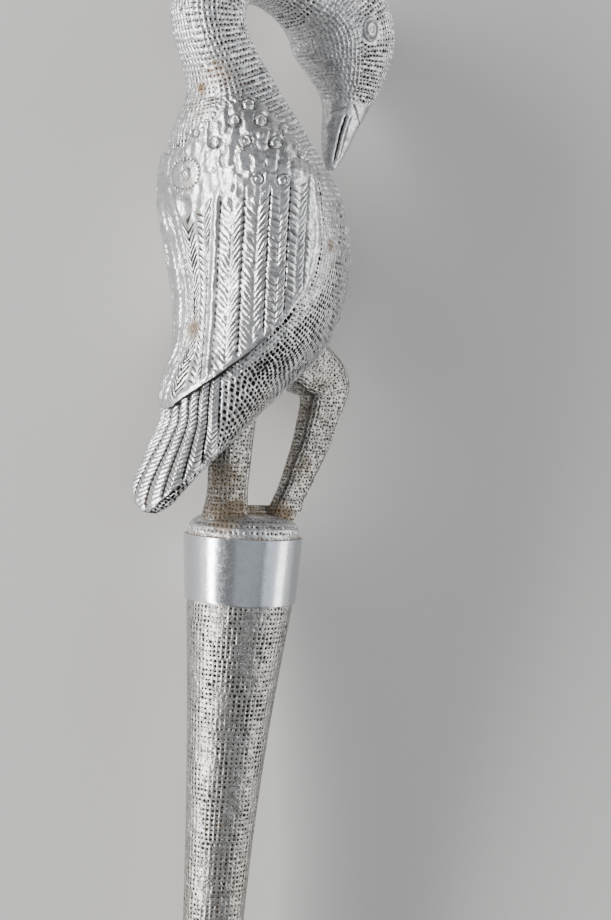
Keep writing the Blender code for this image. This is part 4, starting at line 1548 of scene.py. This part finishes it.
    def feathers(self, plot: Plot) -> Relief:
        """The long feathers with their slanting strokes, which show in part on the coverts too.

        Args:
            plot: The wing's points.

        Returns:
            The relief of the feathers.
        """
        stretch, _, _, inside, strength = (np.broadcast_to(part, plot.up.shape) for part in self.columns())
        rough, sway = plot.ripple(3 + plot.right, 11.0, (1.0, 1.6)), plot.ripple(7 + plot.right, 9.0)
        patches = plot.ripple(11, 13.0) - 0.06 * np.maximum(-plot.phase * self.stroke_pitch, 0)
        shown = np.maximum(plot.below, 0.55 * ramp(patches, -0.1, 0.5) * (plot.place > -16))
        shown = shown * np.clip((plot.room - 0.9) / 1.6, 0, 1) * strength
        even, shown = shown, shown * np.clip(1 + 0.28 * rough, 0.5, 1.5)
        stroke, slit = strokes(math.pi * (plot.phase + 0.10 * sway))
        feathered = inside >= 0
        half = np.clip(inside, 0, 1)
        pillow = np.sin(math.pi * half) ** 0.5
        valley = bell(half, 0.10) * feathered * (stretch > 0)
        spine = bell(1 - half, 0.10) * feathered * (stretch > 0)
        height = shown * feathered * (0.45 * pillow - 0.55 * valley - 0.16 * spine
                                      - self.stroke_depth * (1 - stroke) * (0.3 + 0.7 * pillow))
        # Painted shade in the slits between strokes, the valleys and the spines, weaker on the left wing and
        # stronger along the back
        hollow = 0.66 * slit * (0.4 + 0.6 * pillow) + 0.45 * valley + 0.12 * spine
        pit = even * feathered * np.clip(hollow, 0, 1)
        pit = pit * (1 if plot.right > 0 else 0.8) * np.where(stretch == 0, 1.25, 1)
        relief = Relief(height, pit, shown * feathered * stroke * pillow)
        band = (inside < 0) * plot.below * plot.inner
        ridge = bell(plot.place + 15.9, 0.8) * band
        relief.height = relief.height + 0.40 * ridge
        # The fold's groove gets painted shade, weaker on the left wing
        relief.cut(bell(plot.place + 14.6, 0.34) * band, 0.45, 0.58 if plot.right > 0 else 0.40)
        relief.crest = np.maximum(relief.crest, ridge)
        return relief

    def carve_coverts(self, plot: Plot, relief: Relief) -> None:
        """Carves the coverts: soft folds, hammer marks, rounded scales and the grooves round the rings, with
        painted shade in the troughs and grooves.

        Args:
            plot: The wing's points.
            relief: The relief that grows.
        """
        smooth = (1 - plot.below) * plot.inner
        folds, hammered = plot.ripple(21, 5.2, (0.8, 3.2)), plot.ripple(23, 4.4, (1.0, 1.3))
        relief.height = relief.height + smooth * (self.fold_depth * folds + self.hammer_depth * hammered)
        relief.height = relief.height + 0.08 * hammered * plot.below
        # Painted shade in the troughs of the folds
        relief.pit = np.maximum(relief.pit, 0.42 * smooth * ramp(-folds, 0.7, 1.8))
        for scale in self.scales:
            x, y = plot.about(scale)
            x = x + 0.25 * np.sin(1.7 * y + scale[0])
            away = np.where(y > 0, np.abs(x), np.hypot(x, y)) - self.scale_radius
            fade = ramp(-y, -10, -4) * ramp(y, -6, -3) * (1 - plot.below)
            relief.cut(bell(away, 0.5) * fade, 0.34, 0.55)
            relief.height = relief.height + 0.34 * ramp(-away, 0, 2.2) * fade
            relief.crest = np.maximum(relief.crest, 0.8 * bell(away + 1.3, 0.8) * fade)
        for ring in self.rings:
            relief.cut(bell(np.hypot(*plot.about(ring)) - self.ring_radius, 0.45), 0.35, 0.62)

    def carve_border(self, plot: Plot, relief: Relief) -> None:
        """Carves the two beaded lines along the wing's upper edge.

        Args:
            plot: The wing's points.
            relief: The relief that grows.
        """
        beads = np.abs(np.sin(math.pi * (plot.place + plot.up) / self.bead_pitch)) ** 1.5
        top = (plot.place > -32) * (plot.place < -3) * (plot.phase < -2)
        depth = along(self.upper_edge, plot.place) - plot.up
        line = (bell(depth - 1.3, 0.5) + bell(depth - 3.2, 0.5)) * top
        relief.height = relief.height + 0.55 * line * beads - 0.25 * line
        # Painted shade between the beads
        relief.pit = np.maximum(relief.pit, 0.80 * line * (1 - beads))

    def carve_shoulder(self, plot: Plot, relief: Relief) -> None:
        """Carves the rosette on the shoulder and the dimple below it.

        Args:
            plot: The wing's points.
            relief: The relief that grows.
        """
        x, y = plot.about(self.rosette)
        away = np.hypot(x / self.rosette_width, y)
        ticks = np.abs(np.sin(self.rosette_ticks * np.arctan2(y, x / self.rosette_width)))
        circle = bell(away - self.rosette_radius, 0.6)
        relief.height = (relief.height * (1 - 0.8 * ramp(-away, -6.5, -5)) + 0.65 * bell(away, 4.4)
                         - 0.5 * circle * (0.3 + 0.7 * ticks))
        # Painted shade in the ticks round the rosette, and none inside it
        relief.pit = np.maximum(relief.pit * (1 - ramp(-away, -6.0, -5)), 0.8 * circle * ticks)
        relief.crest = np.maximum(relief.crest, 0.8 * bell(away - 3.4, 1.2))
        x, y = plot.about(self.dimple)
        away = np.hypot(x / self.dimple_size[0], y / self.dimple_size[1])
        relief.height = relief.height - 1.0 * ramp(-away, -1, -0.2) + 0.3 * bell(away - 1.15, 0.2)

    def carving(self, plot: Plot) -> Relief:
        """The relief of the whole wing, with its raised edge.

        Args:
            plot: The wing's points.

        Returns:
            The relief.
        """
        relief = self.feathers(plot)
        for carve in (self.carve_coverts, self.carve_border, self.carve_shoulder):
            carve(plot, relief)
        edge = bell(plot.room - 1.1, 0.9) * (plot.up < 150)
        relief.height, relief.crest = relief.height + 0.42 * edge, np.maximum(relief.crest, edge)
        return relief

    def add(self, data: MeshData, right: int) -> None:
        """Adds one wing with its rings.

        Args:
            data: The mesh that grows.
            right: 1 for the right wing, -1 for the left one.
        """
        plot = self.levels(right)
        steps = np.arange(*self.HEIGHTS)
        stretch, across, _, _, _ = self.columns()
        base = self.form.quarter(steps, self.placed(stretch, across, steps))[0]
        relief = self.carving(plot)
        relief.height = along(self.rise, plot.up) + relief.height
        # The walls under the wing's borders get painted shade, darkest at their foot
        Drape(steps, base, unit(normals_of(base)), right).lay(
            data, plot.up, relief, self.wall, ((0,), (-1,), (slice(None), -1)), (0.5, 1.0))
        for ring in self.rings:
            if right > 0 or ring[1] <= self.far_top - 4:
                self.add_ring(data, ring, right, self.ring_steps)
        if right > 0:
            for ring, profile in ((self.nail, self.nail_steps), (self.back_ring, self.back_ring_steps),
                                  (self.rosette, self.rosette_steps)):
                self.add_ring(data, ring, right, profile)

    def add_ring(self, data: MeshData, spot: tuple[float, float], right: int, profile: Curve) -> None:
        """A small ring punched into the wing.

        Args:
            data: The mesh that grows.
            spot: Its place across the quarter view and its height.
            right: 1 for the right wing, -1 for the left one.
            profile: The steps of (radius, rise) that it is turned through.
        """
        at, level = spot
        near = self.form.quarter(np.array([level - 1, level, level + 1]),
                                 np.array([[at - 0.5, at, at + 0.5]] * 3))[0]
        middle = near[1, 1]
        sideways, upwards = unit(near[1, 2] - near[1, 0]), unit(near[2, 1] - near[0, 1])
        outward = unit(np.cross(sideways, upwards))
        outward = outward * np.sign((outward * middle * [1, 1, 0]).sum())
        lift = float(along(self.rise, np.array(level)))
        turn = np.linspace(0, 2 * math.pi, self.RING_CORNERS + 1)[:-1]
        grid = np.array([middle + outward * (lift + rise)
                         + radius * (np.cos(turn)[:, None] * sideways + np.sin(turn)[:, None] * upwards)
                         for radius, rise in profile]) * np.array([1.0, right, 1.0])
        if right > 0:
            grid = grid[:, ::-1]
        # The low steps of a ring get painted shade; the high ones are rubbed bright
        low = np.clip(0.35 - np.array([rise for _, rise in profile]), 0, 1)
        index = strip(data, grid, True, np.repeat(low, len(turn)), np.repeat(1 - low, len(turn)))
        cap(data, index[-1], False)


@dataclass
class Tail:
    """The fan of ribbed feathers on the back of the tail."""

    HEIGHTS = (9.4, 68, 0.4)

    form: Form
    border: float = -11.5
    strips: int = 4
    columns_in_half: int = 9
    rows_in_stroke: int = 5
    pitch: float = 1.95
    slant: float = 2.4
    top: float = 66.0
    length: float = 56.0
    foot: float = 10.2
    rise: float = 0.9
    wall: float = 0.9
    cut: float = 46.3

    def add(self, data: MeshData, right: int) -> None:
        """Adds one half of the fan.

        Args:
            data: The mesh that grows.
            right: 1 for the right half, -1 for the left one.
        """
        shares = np.linspace(0, 1, 2 * self.columns_in_half * self.strips + 1)
        x = np.abs((shares * self.strips * 2 + 1) % 2 - 1)
        steps = np.arange(*self.HEIGHTS)
        back = self.form.back_line(steps)[:, None]
        across = back + shares * (self.border - back)
        foot = np.array([steps[np.argmax(across[:, j] < steps - self.cut)] for j in range(len(shares))])
        foot = np.maximum(foot, self.foot)
        base = self.form.quarter(steps, across)[0]
        step = self.pitch / self.rows_in_stroke
        phase = np.arange(int(self.length / step))[:, None] * step
        up = np.maximum(self.top - phase - self.slant * x, foot)
        room = np.clip((up - foot) / 1.5, 0, 1)
        stroke, slit = strokes(math.pi * phase / self.pitch)
        strip_x = np.broadcast_to(x, up.shape)
        valley = bell(strip_x, 0.17)
        rim = np.broadcast_to(bell(shares - 1, 0.02), up.shape)
        uneven = 1 + 0.25 * Ripple(31 + right, 8.0).at(np.broadcast_to(20 * shares, up.shape), up)
        height = room * (0.95 * strip_x - 0.75 * valley - 0.40 * uneven * (1 - stroke) * (1 - 0.6 * valley))
        height = self.rise + (height + 0.7 * rim - 0.25 * room)
        # Painted shade in the valleys between the strips and in the slits between strokes; the walls at the
        # fan's borders get painted shade too
        pit = room * np.clip(0.80 * valley + 0.62 * slit * (1 - valley), 0, 1) * (1 - rim)
        Drape(steps, base, normals_of(base), right).lay(
            data, up, Relief(height, pit, room * stroke * strip_x), self.wall, ((-1,), (slice(None), -1)),
            (0.5, 0.5))


@dataclass
class Legs:
    """The straight leg, the bent leg and the web between the feet."""

    punching: Punching = Punching(pitch=1.8, mouth=0.42, depth=0.45, scatter=0.26, seed=9)
    dome_up: tuple[float, ...] = (3.0, 4.6, 6.2, 7.6, 9.6, 12.0)
    dome_radius: tuple[float, ...] = (22.8, 22.4, 21.6, 21.6, 22.4, 27.0)
    foot_aside: float = 6.5
    ankle: float = 9.0
    knee: float = 62.0
    # Stations of the straight leg and the web: forward, right, up, lean, depth and width
    straight: tuple[tuple[float, ...], ...] = (
        (-10.4, 0.6, 5.0, 0, 10.0, 8.2), (-10.4, 0.6, 9.5, 0, 9.4, 7.6), (-10.2, 0.6, 14.0, 0, 8.6, 6.9),
        (-9.8, 0.6, 30.0, 0, 8.6, 6.9), (-8.8, 0.6, 62.0, 0, 10.0, 8.4))
    web: tuple[tuple[float, ...], ...] = (
        (4.5, 1.8, 4.0, 0, 11.0, 3.6), (4.5, 1.8, 10.5, 0, 10.0, 3.2), (4.5, 1.8, 12.6, 0, 8.0, 1.8))
    # Stations of the bent leg before its foot is set aside: forward, up, lean, depth and width
    bent: tuple[tuple[float, ...], ...] = (
        (20.0, 5.0, 0, 7.4, 4.8), (21.0, 9.0, 0, 7.6, 4.6), (22.9, 14.0, 0, 7.3, 3.9),
        (26.0, 20.0, 0, 7.4, 3.9), (29.7, 28.0, 0, 7.8, 4.3), (34.6, 40.0, 0, 8.6, 5.1),
        (37.9, 51.0, 0, 9.1, 5.9), (39.7, 57.5, 0, 9.8, 6.5), (40.2, 62.5, -14, 11.2, 6.9),
        (37.2, 67.0, -36, 12.0, 7.8),
        (29.5, 71.5, -52, 12.4, 9.6), (18.0, 78.5, -58, 12.8, 11.6))

    def tube(self, stations: Sequence[tuple[float, ...]], corner: float) -> Form:
        """A leg as a form of its own.

        Args:
            stations: Its stations of (forward, right, up, lean, depth, width).
            corner: How square it is.

        Returns:
            The form.
        """
        ribs = [(up, forward, lean, depth, width, corner, 0, side)
                for forward, side, up, lean, depth, width in stations]
        middles = np.array([(r[0], r[1]) for r in ribs])
        way = np.concatenate([[0], np.cumsum(np.linalg.norm(np.diff(middles, axis=0), axis=1))])
        return Form(ribs, way)

    def set_aside(self, stations: Sequence[tuple[float, ...]]) -> list[tuple[float, ...]]:
        """The bent leg with its foot set to the right and back, where the quarter view shows it as before.

        Args:
            stations: Its stations of (forward, up, lean, depth, width).

        Returns:
            Stations of (forward, right, up, lean, depth, width).
        """
        moved = []
        for forward, up, lean, depth, width in stations:
            aside = self.foot_aside * min(max((self.knee - up) / (self.knee - self.ankle), 0), 1)
            moved.append((forward - aside * math.tan(QUARTER), aside, up, lean, depth, width))
        return moved

    def build(self) -> bpy.types.Object:
        """Both legs and the web, held inside the domed pedestal's edge at their feet.

        Returns:
            The piece.
        """
        data = MeshData()
        for stations, corner in ((self.straight, 3), (self.set_aside(self.bent), 4), (self.web, 3)):
            form = self.tube(stations, corner)
            end = float(form.places[-1])
            FormSkin(form).punch(data, np.linspace(0, end, max(4, int(end / 0.9))), self.punching)
        for points in data.points:
            away = np.hypot(points[:, 0], points[:, 1])
            limit = np.interp(points[:, 2], self.dome_up, self.dome_radius)
            share = np.minimum(limit / np.maximum(away, 1e-6), 1)
            points[:, :2] *= np.where(points[:, 2] < self.dome_up[-1], share, 1)[:, None]
        return data.build("legs", "bird", "punched_silver", TARNISHED_AND_SHADED_LEG_FINISH, CRISP)


@dataclass
class Foot:
    """The domed round pedestal, the collar and the shaft, turned about the staff's axis."""

    collar_height: float = 27.7
    collar_top: float = 50.4
    collar_bottom: float = 47.0
    wall: float = 1.4
    gap: float = 0.3
    length: float = 720.0
    head: float = 44.6
    waist: float = 20.8
    foot: float = 18.4
    rounding: float = 2.0
    flare: float = 94.0
    power: float = 1.15
    lean: float = 0.5
    lip: float = 0.5
    collar_corners: int = 128
    # The dome above its rim: share of the rim's radius, and height
    dome: Curve = ((0.988, 3.0), (0.96, 4.6), (0.90, 6.2), (0.80, 7.6), (0.66, 8.5), (0.45, 9.1), (0.2, 9.35))
    dome_punching: Punching = Punching(pitch=2.15, mouth=0.44, depth=0.40, scatter=0.14, seed=5)
    tip: float = 1.5
    seat: float = 6.0
    patches: float = 0.18
    split: float = 0.62
    shaft_punching: Punching = Punching(pitch=2.0, mouth=0.55, depth=0.55, scatter=0.12, seed=20)

    def collar_radius(self, up: Array) -> Array:
        """The collar's outer radius at a height below its top edge."""
        return (self.collar_top + (self.collar_bottom - self.collar_top) * -up / self.collar_height) / 2

    def shaft_radius(self, up: Array) -> Array:
        """The shaft's radius, flared below the collar.

        Args:
            up: Heights.

        Returns:
            The radius at each height.
        """
        down = np.maximum(-up - self.collar_height, 0)
        straight = (self.waist + (self.foot - self.waist) * down / self.length) / 2
        return straight + (self.head - self.waist) / 2 * np.exp(-((down / self.flare) ** self.power))

    def build_pedestal(self) -> bpy.types.Object:
        """The dome with its rings of dots.

        Returns:
            The piece.
        """
        data = MeshData()
        rim = self.collar_top / 2 - self.wall - self.gap
        profile = [(rim, -2.0), (rim, 0.4), (rim - 0.1, 1.6), *((rim * share, up) for share, up in self.dome),
                   (self.tip, 9.4)]
        surface = Turned(np.array([(radius, up, 0.0) for radius, up in profile]))
        surface.punch(data, np.linspace(0, surface.way[-1], 20), self.dome_punching)
        return data.build("pedestal", "bird", "punched_silver", PUNCHED_FINISH, CRISP)

    def build_collar(self) -> bpy.types.Object:
        """The smooth band, a little dented, with rounded lips.

        Returns:
            The piece.
        """
        data = MeshData()
        height, lip = self.collar_height, self.lip
        top, foot = self.collar_radius(0.0), self.collar_radius(-height)
        profile = [(top - self.wall, 0.0), (top - lip, 0.0), (top - lip * 0.3, -lip * 0.3)]
        profile += [(float(self.collar_radius(up)), float(up)) for up in np.linspace(-lip, -height + lip, 40)]
        profile += [(foot - lip * 0.3, -height + lip * 0.3), (foot - lip, -height),
                    (foot - self.wall, -height), (top - self.wall, 0.0)]
        turn = np.linspace(0, 2 * math.pi, self.collar_corners + 1)[:-1]
        radius, up = (np.array([p[k] for p in profile])[:, None] for k in (0, 1))
        sag = 0.08 * np.sin(3 * turn + up / 9) + 0.03 * np.sin(7 * turn - up / 5)
        bent = np.zeros_like(radius)
        bent[3:-4] = 1
        radius = radius - bent * (0.12 + sag * 0.6)
        low = ramp(-up, height - 8, height)
        up = up + low * (0.30 * np.sin(2 * turn + 1) + 0.16 * np.sin(5 * turn) + 0.3)
        grid = np.stack([radius * np.cos(turn), radius * np.sin(turn), up + 0 * turn], axis=-1)
        strip(data, grid[::-1], True)
        return data.build("collar_band", "collar", "polished_silver", POLISHED_FINISH, BAND_CRISP)

    def build_shaft(self) -> list[bpy.types.Object]:
        """The shaft in two lengths, so that neither mesh is too large.

        Returns:
            The two pieces, the upper one first.
        """
        start, end = -self.collar_height + self.seat, -self.collar_height - self.length
        ups = np.linspace(start, end + self.rounding, 400)
        radius = self.shaft_radius(ups)
        room = self.collar_radius(ups) - self.wall - self.gap
        radius = np.where(ups > -self.collar_height, np.minimum(radius, room), radius)
        lean = -self.lean * (self.shaft_radius(np.array(-self.collar_height)) - radius)
        lean = np.where(ups > -self.collar_height, 0, lean)
        profile = list(zip(radius, ups, lean))
        for angle in (30, 60, 90):
            turn = math.radians(angle)
            profile.append((radius[-1] - self.rounding * (1 - math.cos(turn)),
                            end + self.rounding * (1 - math.sin(turn)), lean[-1]))
        profile.append((self.tip, end, lean[-1]))
        surface = Turned(np.array(profile[::-1]), self.patches)
        top = surface.way[-1]
        middle, made = top * self.split, []
        lengths = (("shaft_upper", middle, top), ("shaft_lower", 0, middle))
        for number, (name, low, high) in enumerate(lengths):
            data = MeshData()
            rows = np.linspace(low, high, int((high - low) / self.shaft_punching.pitch))
            surface.punch(data, rows, replace(self.shaft_punching, seed=self.shaft_punching.seed + number))
            made.append(data.build(name, "shaft", "punched_silver", SHAFT_FINISH, CRISP))
        return made


@dataclass(frozen=True)
class PhotoCamera:
    """The camera that took the photograph, in the staff's axes."""

    scale: float = 0.42
    distance: float = 714.0
    turn: float = 40.0
    roll: float = 3.2
    pitch: float = 2.0
    middle: tuple[float, float] = (305.5, 460.0)
    origin: tuple[float, float] = (243.2, 535.0)
    half_sensor: float = 18.0
    reach: tuple[float, float] = (0.01, 20.0)

    def build(self) -> bpy.types.Object:
        """The camera, made the scene's own.

        Returns:
            The camera.
        """
        phi, roll, pitch = (math.radians(a) for a in (self.turn, self.roll, self.pitch))
        right = np.array([math.cos(phi), math.sin(phi), 0.0])
        level = np.array([-math.sin(phi), math.cos(phi), 0.0])
        toward = level * math.cos(pitch) + np.array([0, 0, math.sin(pitch)])
        up = np.array([0, 0, math.cos(pitch)]) - level * math.sin(pitch)
        x = (self.origin[0] - self.middle[0]) * self.scale
        y = (self.middle[1] - self.origin[1]) * self.scale
        aside, above = x * math.cos(roll) - y * math.sin(roll), x * math.sin(roll) + y * math.cos(roll)
        place = -aside * right - above * up + self.distance * toward
        across = right * math.cos(roll) + up * math.sin(roll)
        upright = up * math.cos(roll) - right * math.sin(roll)
        turned = LAY.directions(np.array([across, upright, toward]))
        data = bpy.data.cameras.new("camera")
        data.lens = self.half_sensor * self.distance / (self.middle[1] * self.scale)
        data.clip_start, data.clip_end = self.reach
        camera = stand("camera", data)
        camera.matrix_world = (Matrix.Translation(Vector(LAY.points(place)))
                               @ Matrix([list(row) for row in turned.T]).to_4x4())
        bpy.context.scene.camera = camera
        return camera


@dataclass(frozen=True)
class Softbox:
    """A large soft light: where it stands from the bird, its length and height, and its strength in watts."""

    name: str
    place: tuple[float, float, float]
    size: tuple[float, float]
    watts: float
    colour: Colour = (1.0, 1.0, 1.0)

    def build(self, target: Vector) -> None:
        """Makes the light, turned to the target.

        Args:
            target: The place that it is turned to, on the floor.
        """
        data = bpy.data.lights.new(self.name, "AREA")
        data.shape = "RECTANGLE"
        data.size, data.size_y = self.size
        data.energy = self.watts
        data.color = self.colour
        light = stand(self.name, data)
        light.location = target + Vector(self.place)
        light.rotation_euler = (target - light.location).to_track_quat("-Z", "Y").to_euler()


@dataclass
class Studio:
    """A pale floor, a soft grey surround and soft lights."""

    floor_size: float = 6.0
    floor_colour: Colour = (0.70, 0.69, 0.675)
    floor_roughness: float = 0.9
    surround: float = 0.22
    target: tuple[float, float, float] = (0.0, 0.30, 0.03)
    boxes: tuple[Softbox, ...] = (
        Softbox("left_box", (-1.50, 0.0, 0.44), (2.6, 0.34), 70, (1.0, 0.98, 0.96)),
        Softbox("right_box", (1.6, 0.0, 0.40), (2.6, 0.55), 19, (1.0, 0.97, 0.92)),
        Softbox("top_box", (-0.1, 0.5, 2.3), (2.6, 3.5), 8.5, (0.82, 0.91, 1.0)),
        Softbox("fill_box", (1.9, 0.4, 1.4), (2.6, 2.0), 15, (0.84, 0.92, 1.0)),
    )

    def build(self) -> None:
        """Makes the floor, the surround and the lights."""
        mesh = bpy.data.meshes.new("floor")
        size = self.floor_size
        corners = [(-size, -size, 0), (size, -size, 0), (size, size, 0), (-size, size, 0)]
        mesh.from_pydata(corners, [], [(0, 1, 2, 3)])
        floor = stand("floor", mesh)
        nodes = Shader("floor_paper")
        nodes.feed(nodes.main.inputs["Base Color"], (*self.floor_colour, 1.0))
        nodes.feed(nodes.main.inputs["Roughness"], self.floor_roughness)
        mesh.materials.append(nodes.made)
        world = bpy.data.worlds.new("surround")
        world.use_nodes = True
        ground = world.node_tree.nodes["Background"]
        ground.inputs[0].default_value = (1.0, 1.0, 1.0, 1.0)
        ground.inputs[1].default_value = self.surround
        bpy.context.scene.world = world
        for box in self.boxes:
            box.build(Vector(self.target))


def main() -> None:
    """Builds the staff, the studio and the camera."""
    logging.basicConfig(level=logging.INFO, format="%(message)s")
    PhotoCamera().build()
    Studio().build()
    form = Form(RIBS)
    body = Body(form)
    body.build_belly()
    body.build_neck()
    body.build_beak()
    for name, right in (("right_wing", 1), ("left_wing", -1)):
        data = MeshData()
        Wing(form).add(data, right)
        data.build(name, "bird", "punched_silver", CARVED_FINISH)
    data = MeshData()
    for right in (1, -1):
        Tail(form).add(data, right)
    data.build("tail_fan", "bird", "punched_silver", CARVED_FINISH)
    Legs().build()
    foot = Foot()
    foot.build_pedestal()
    foot.build_collar()
    foot.build_shaft()


if __name__ == "__main__":
    main()
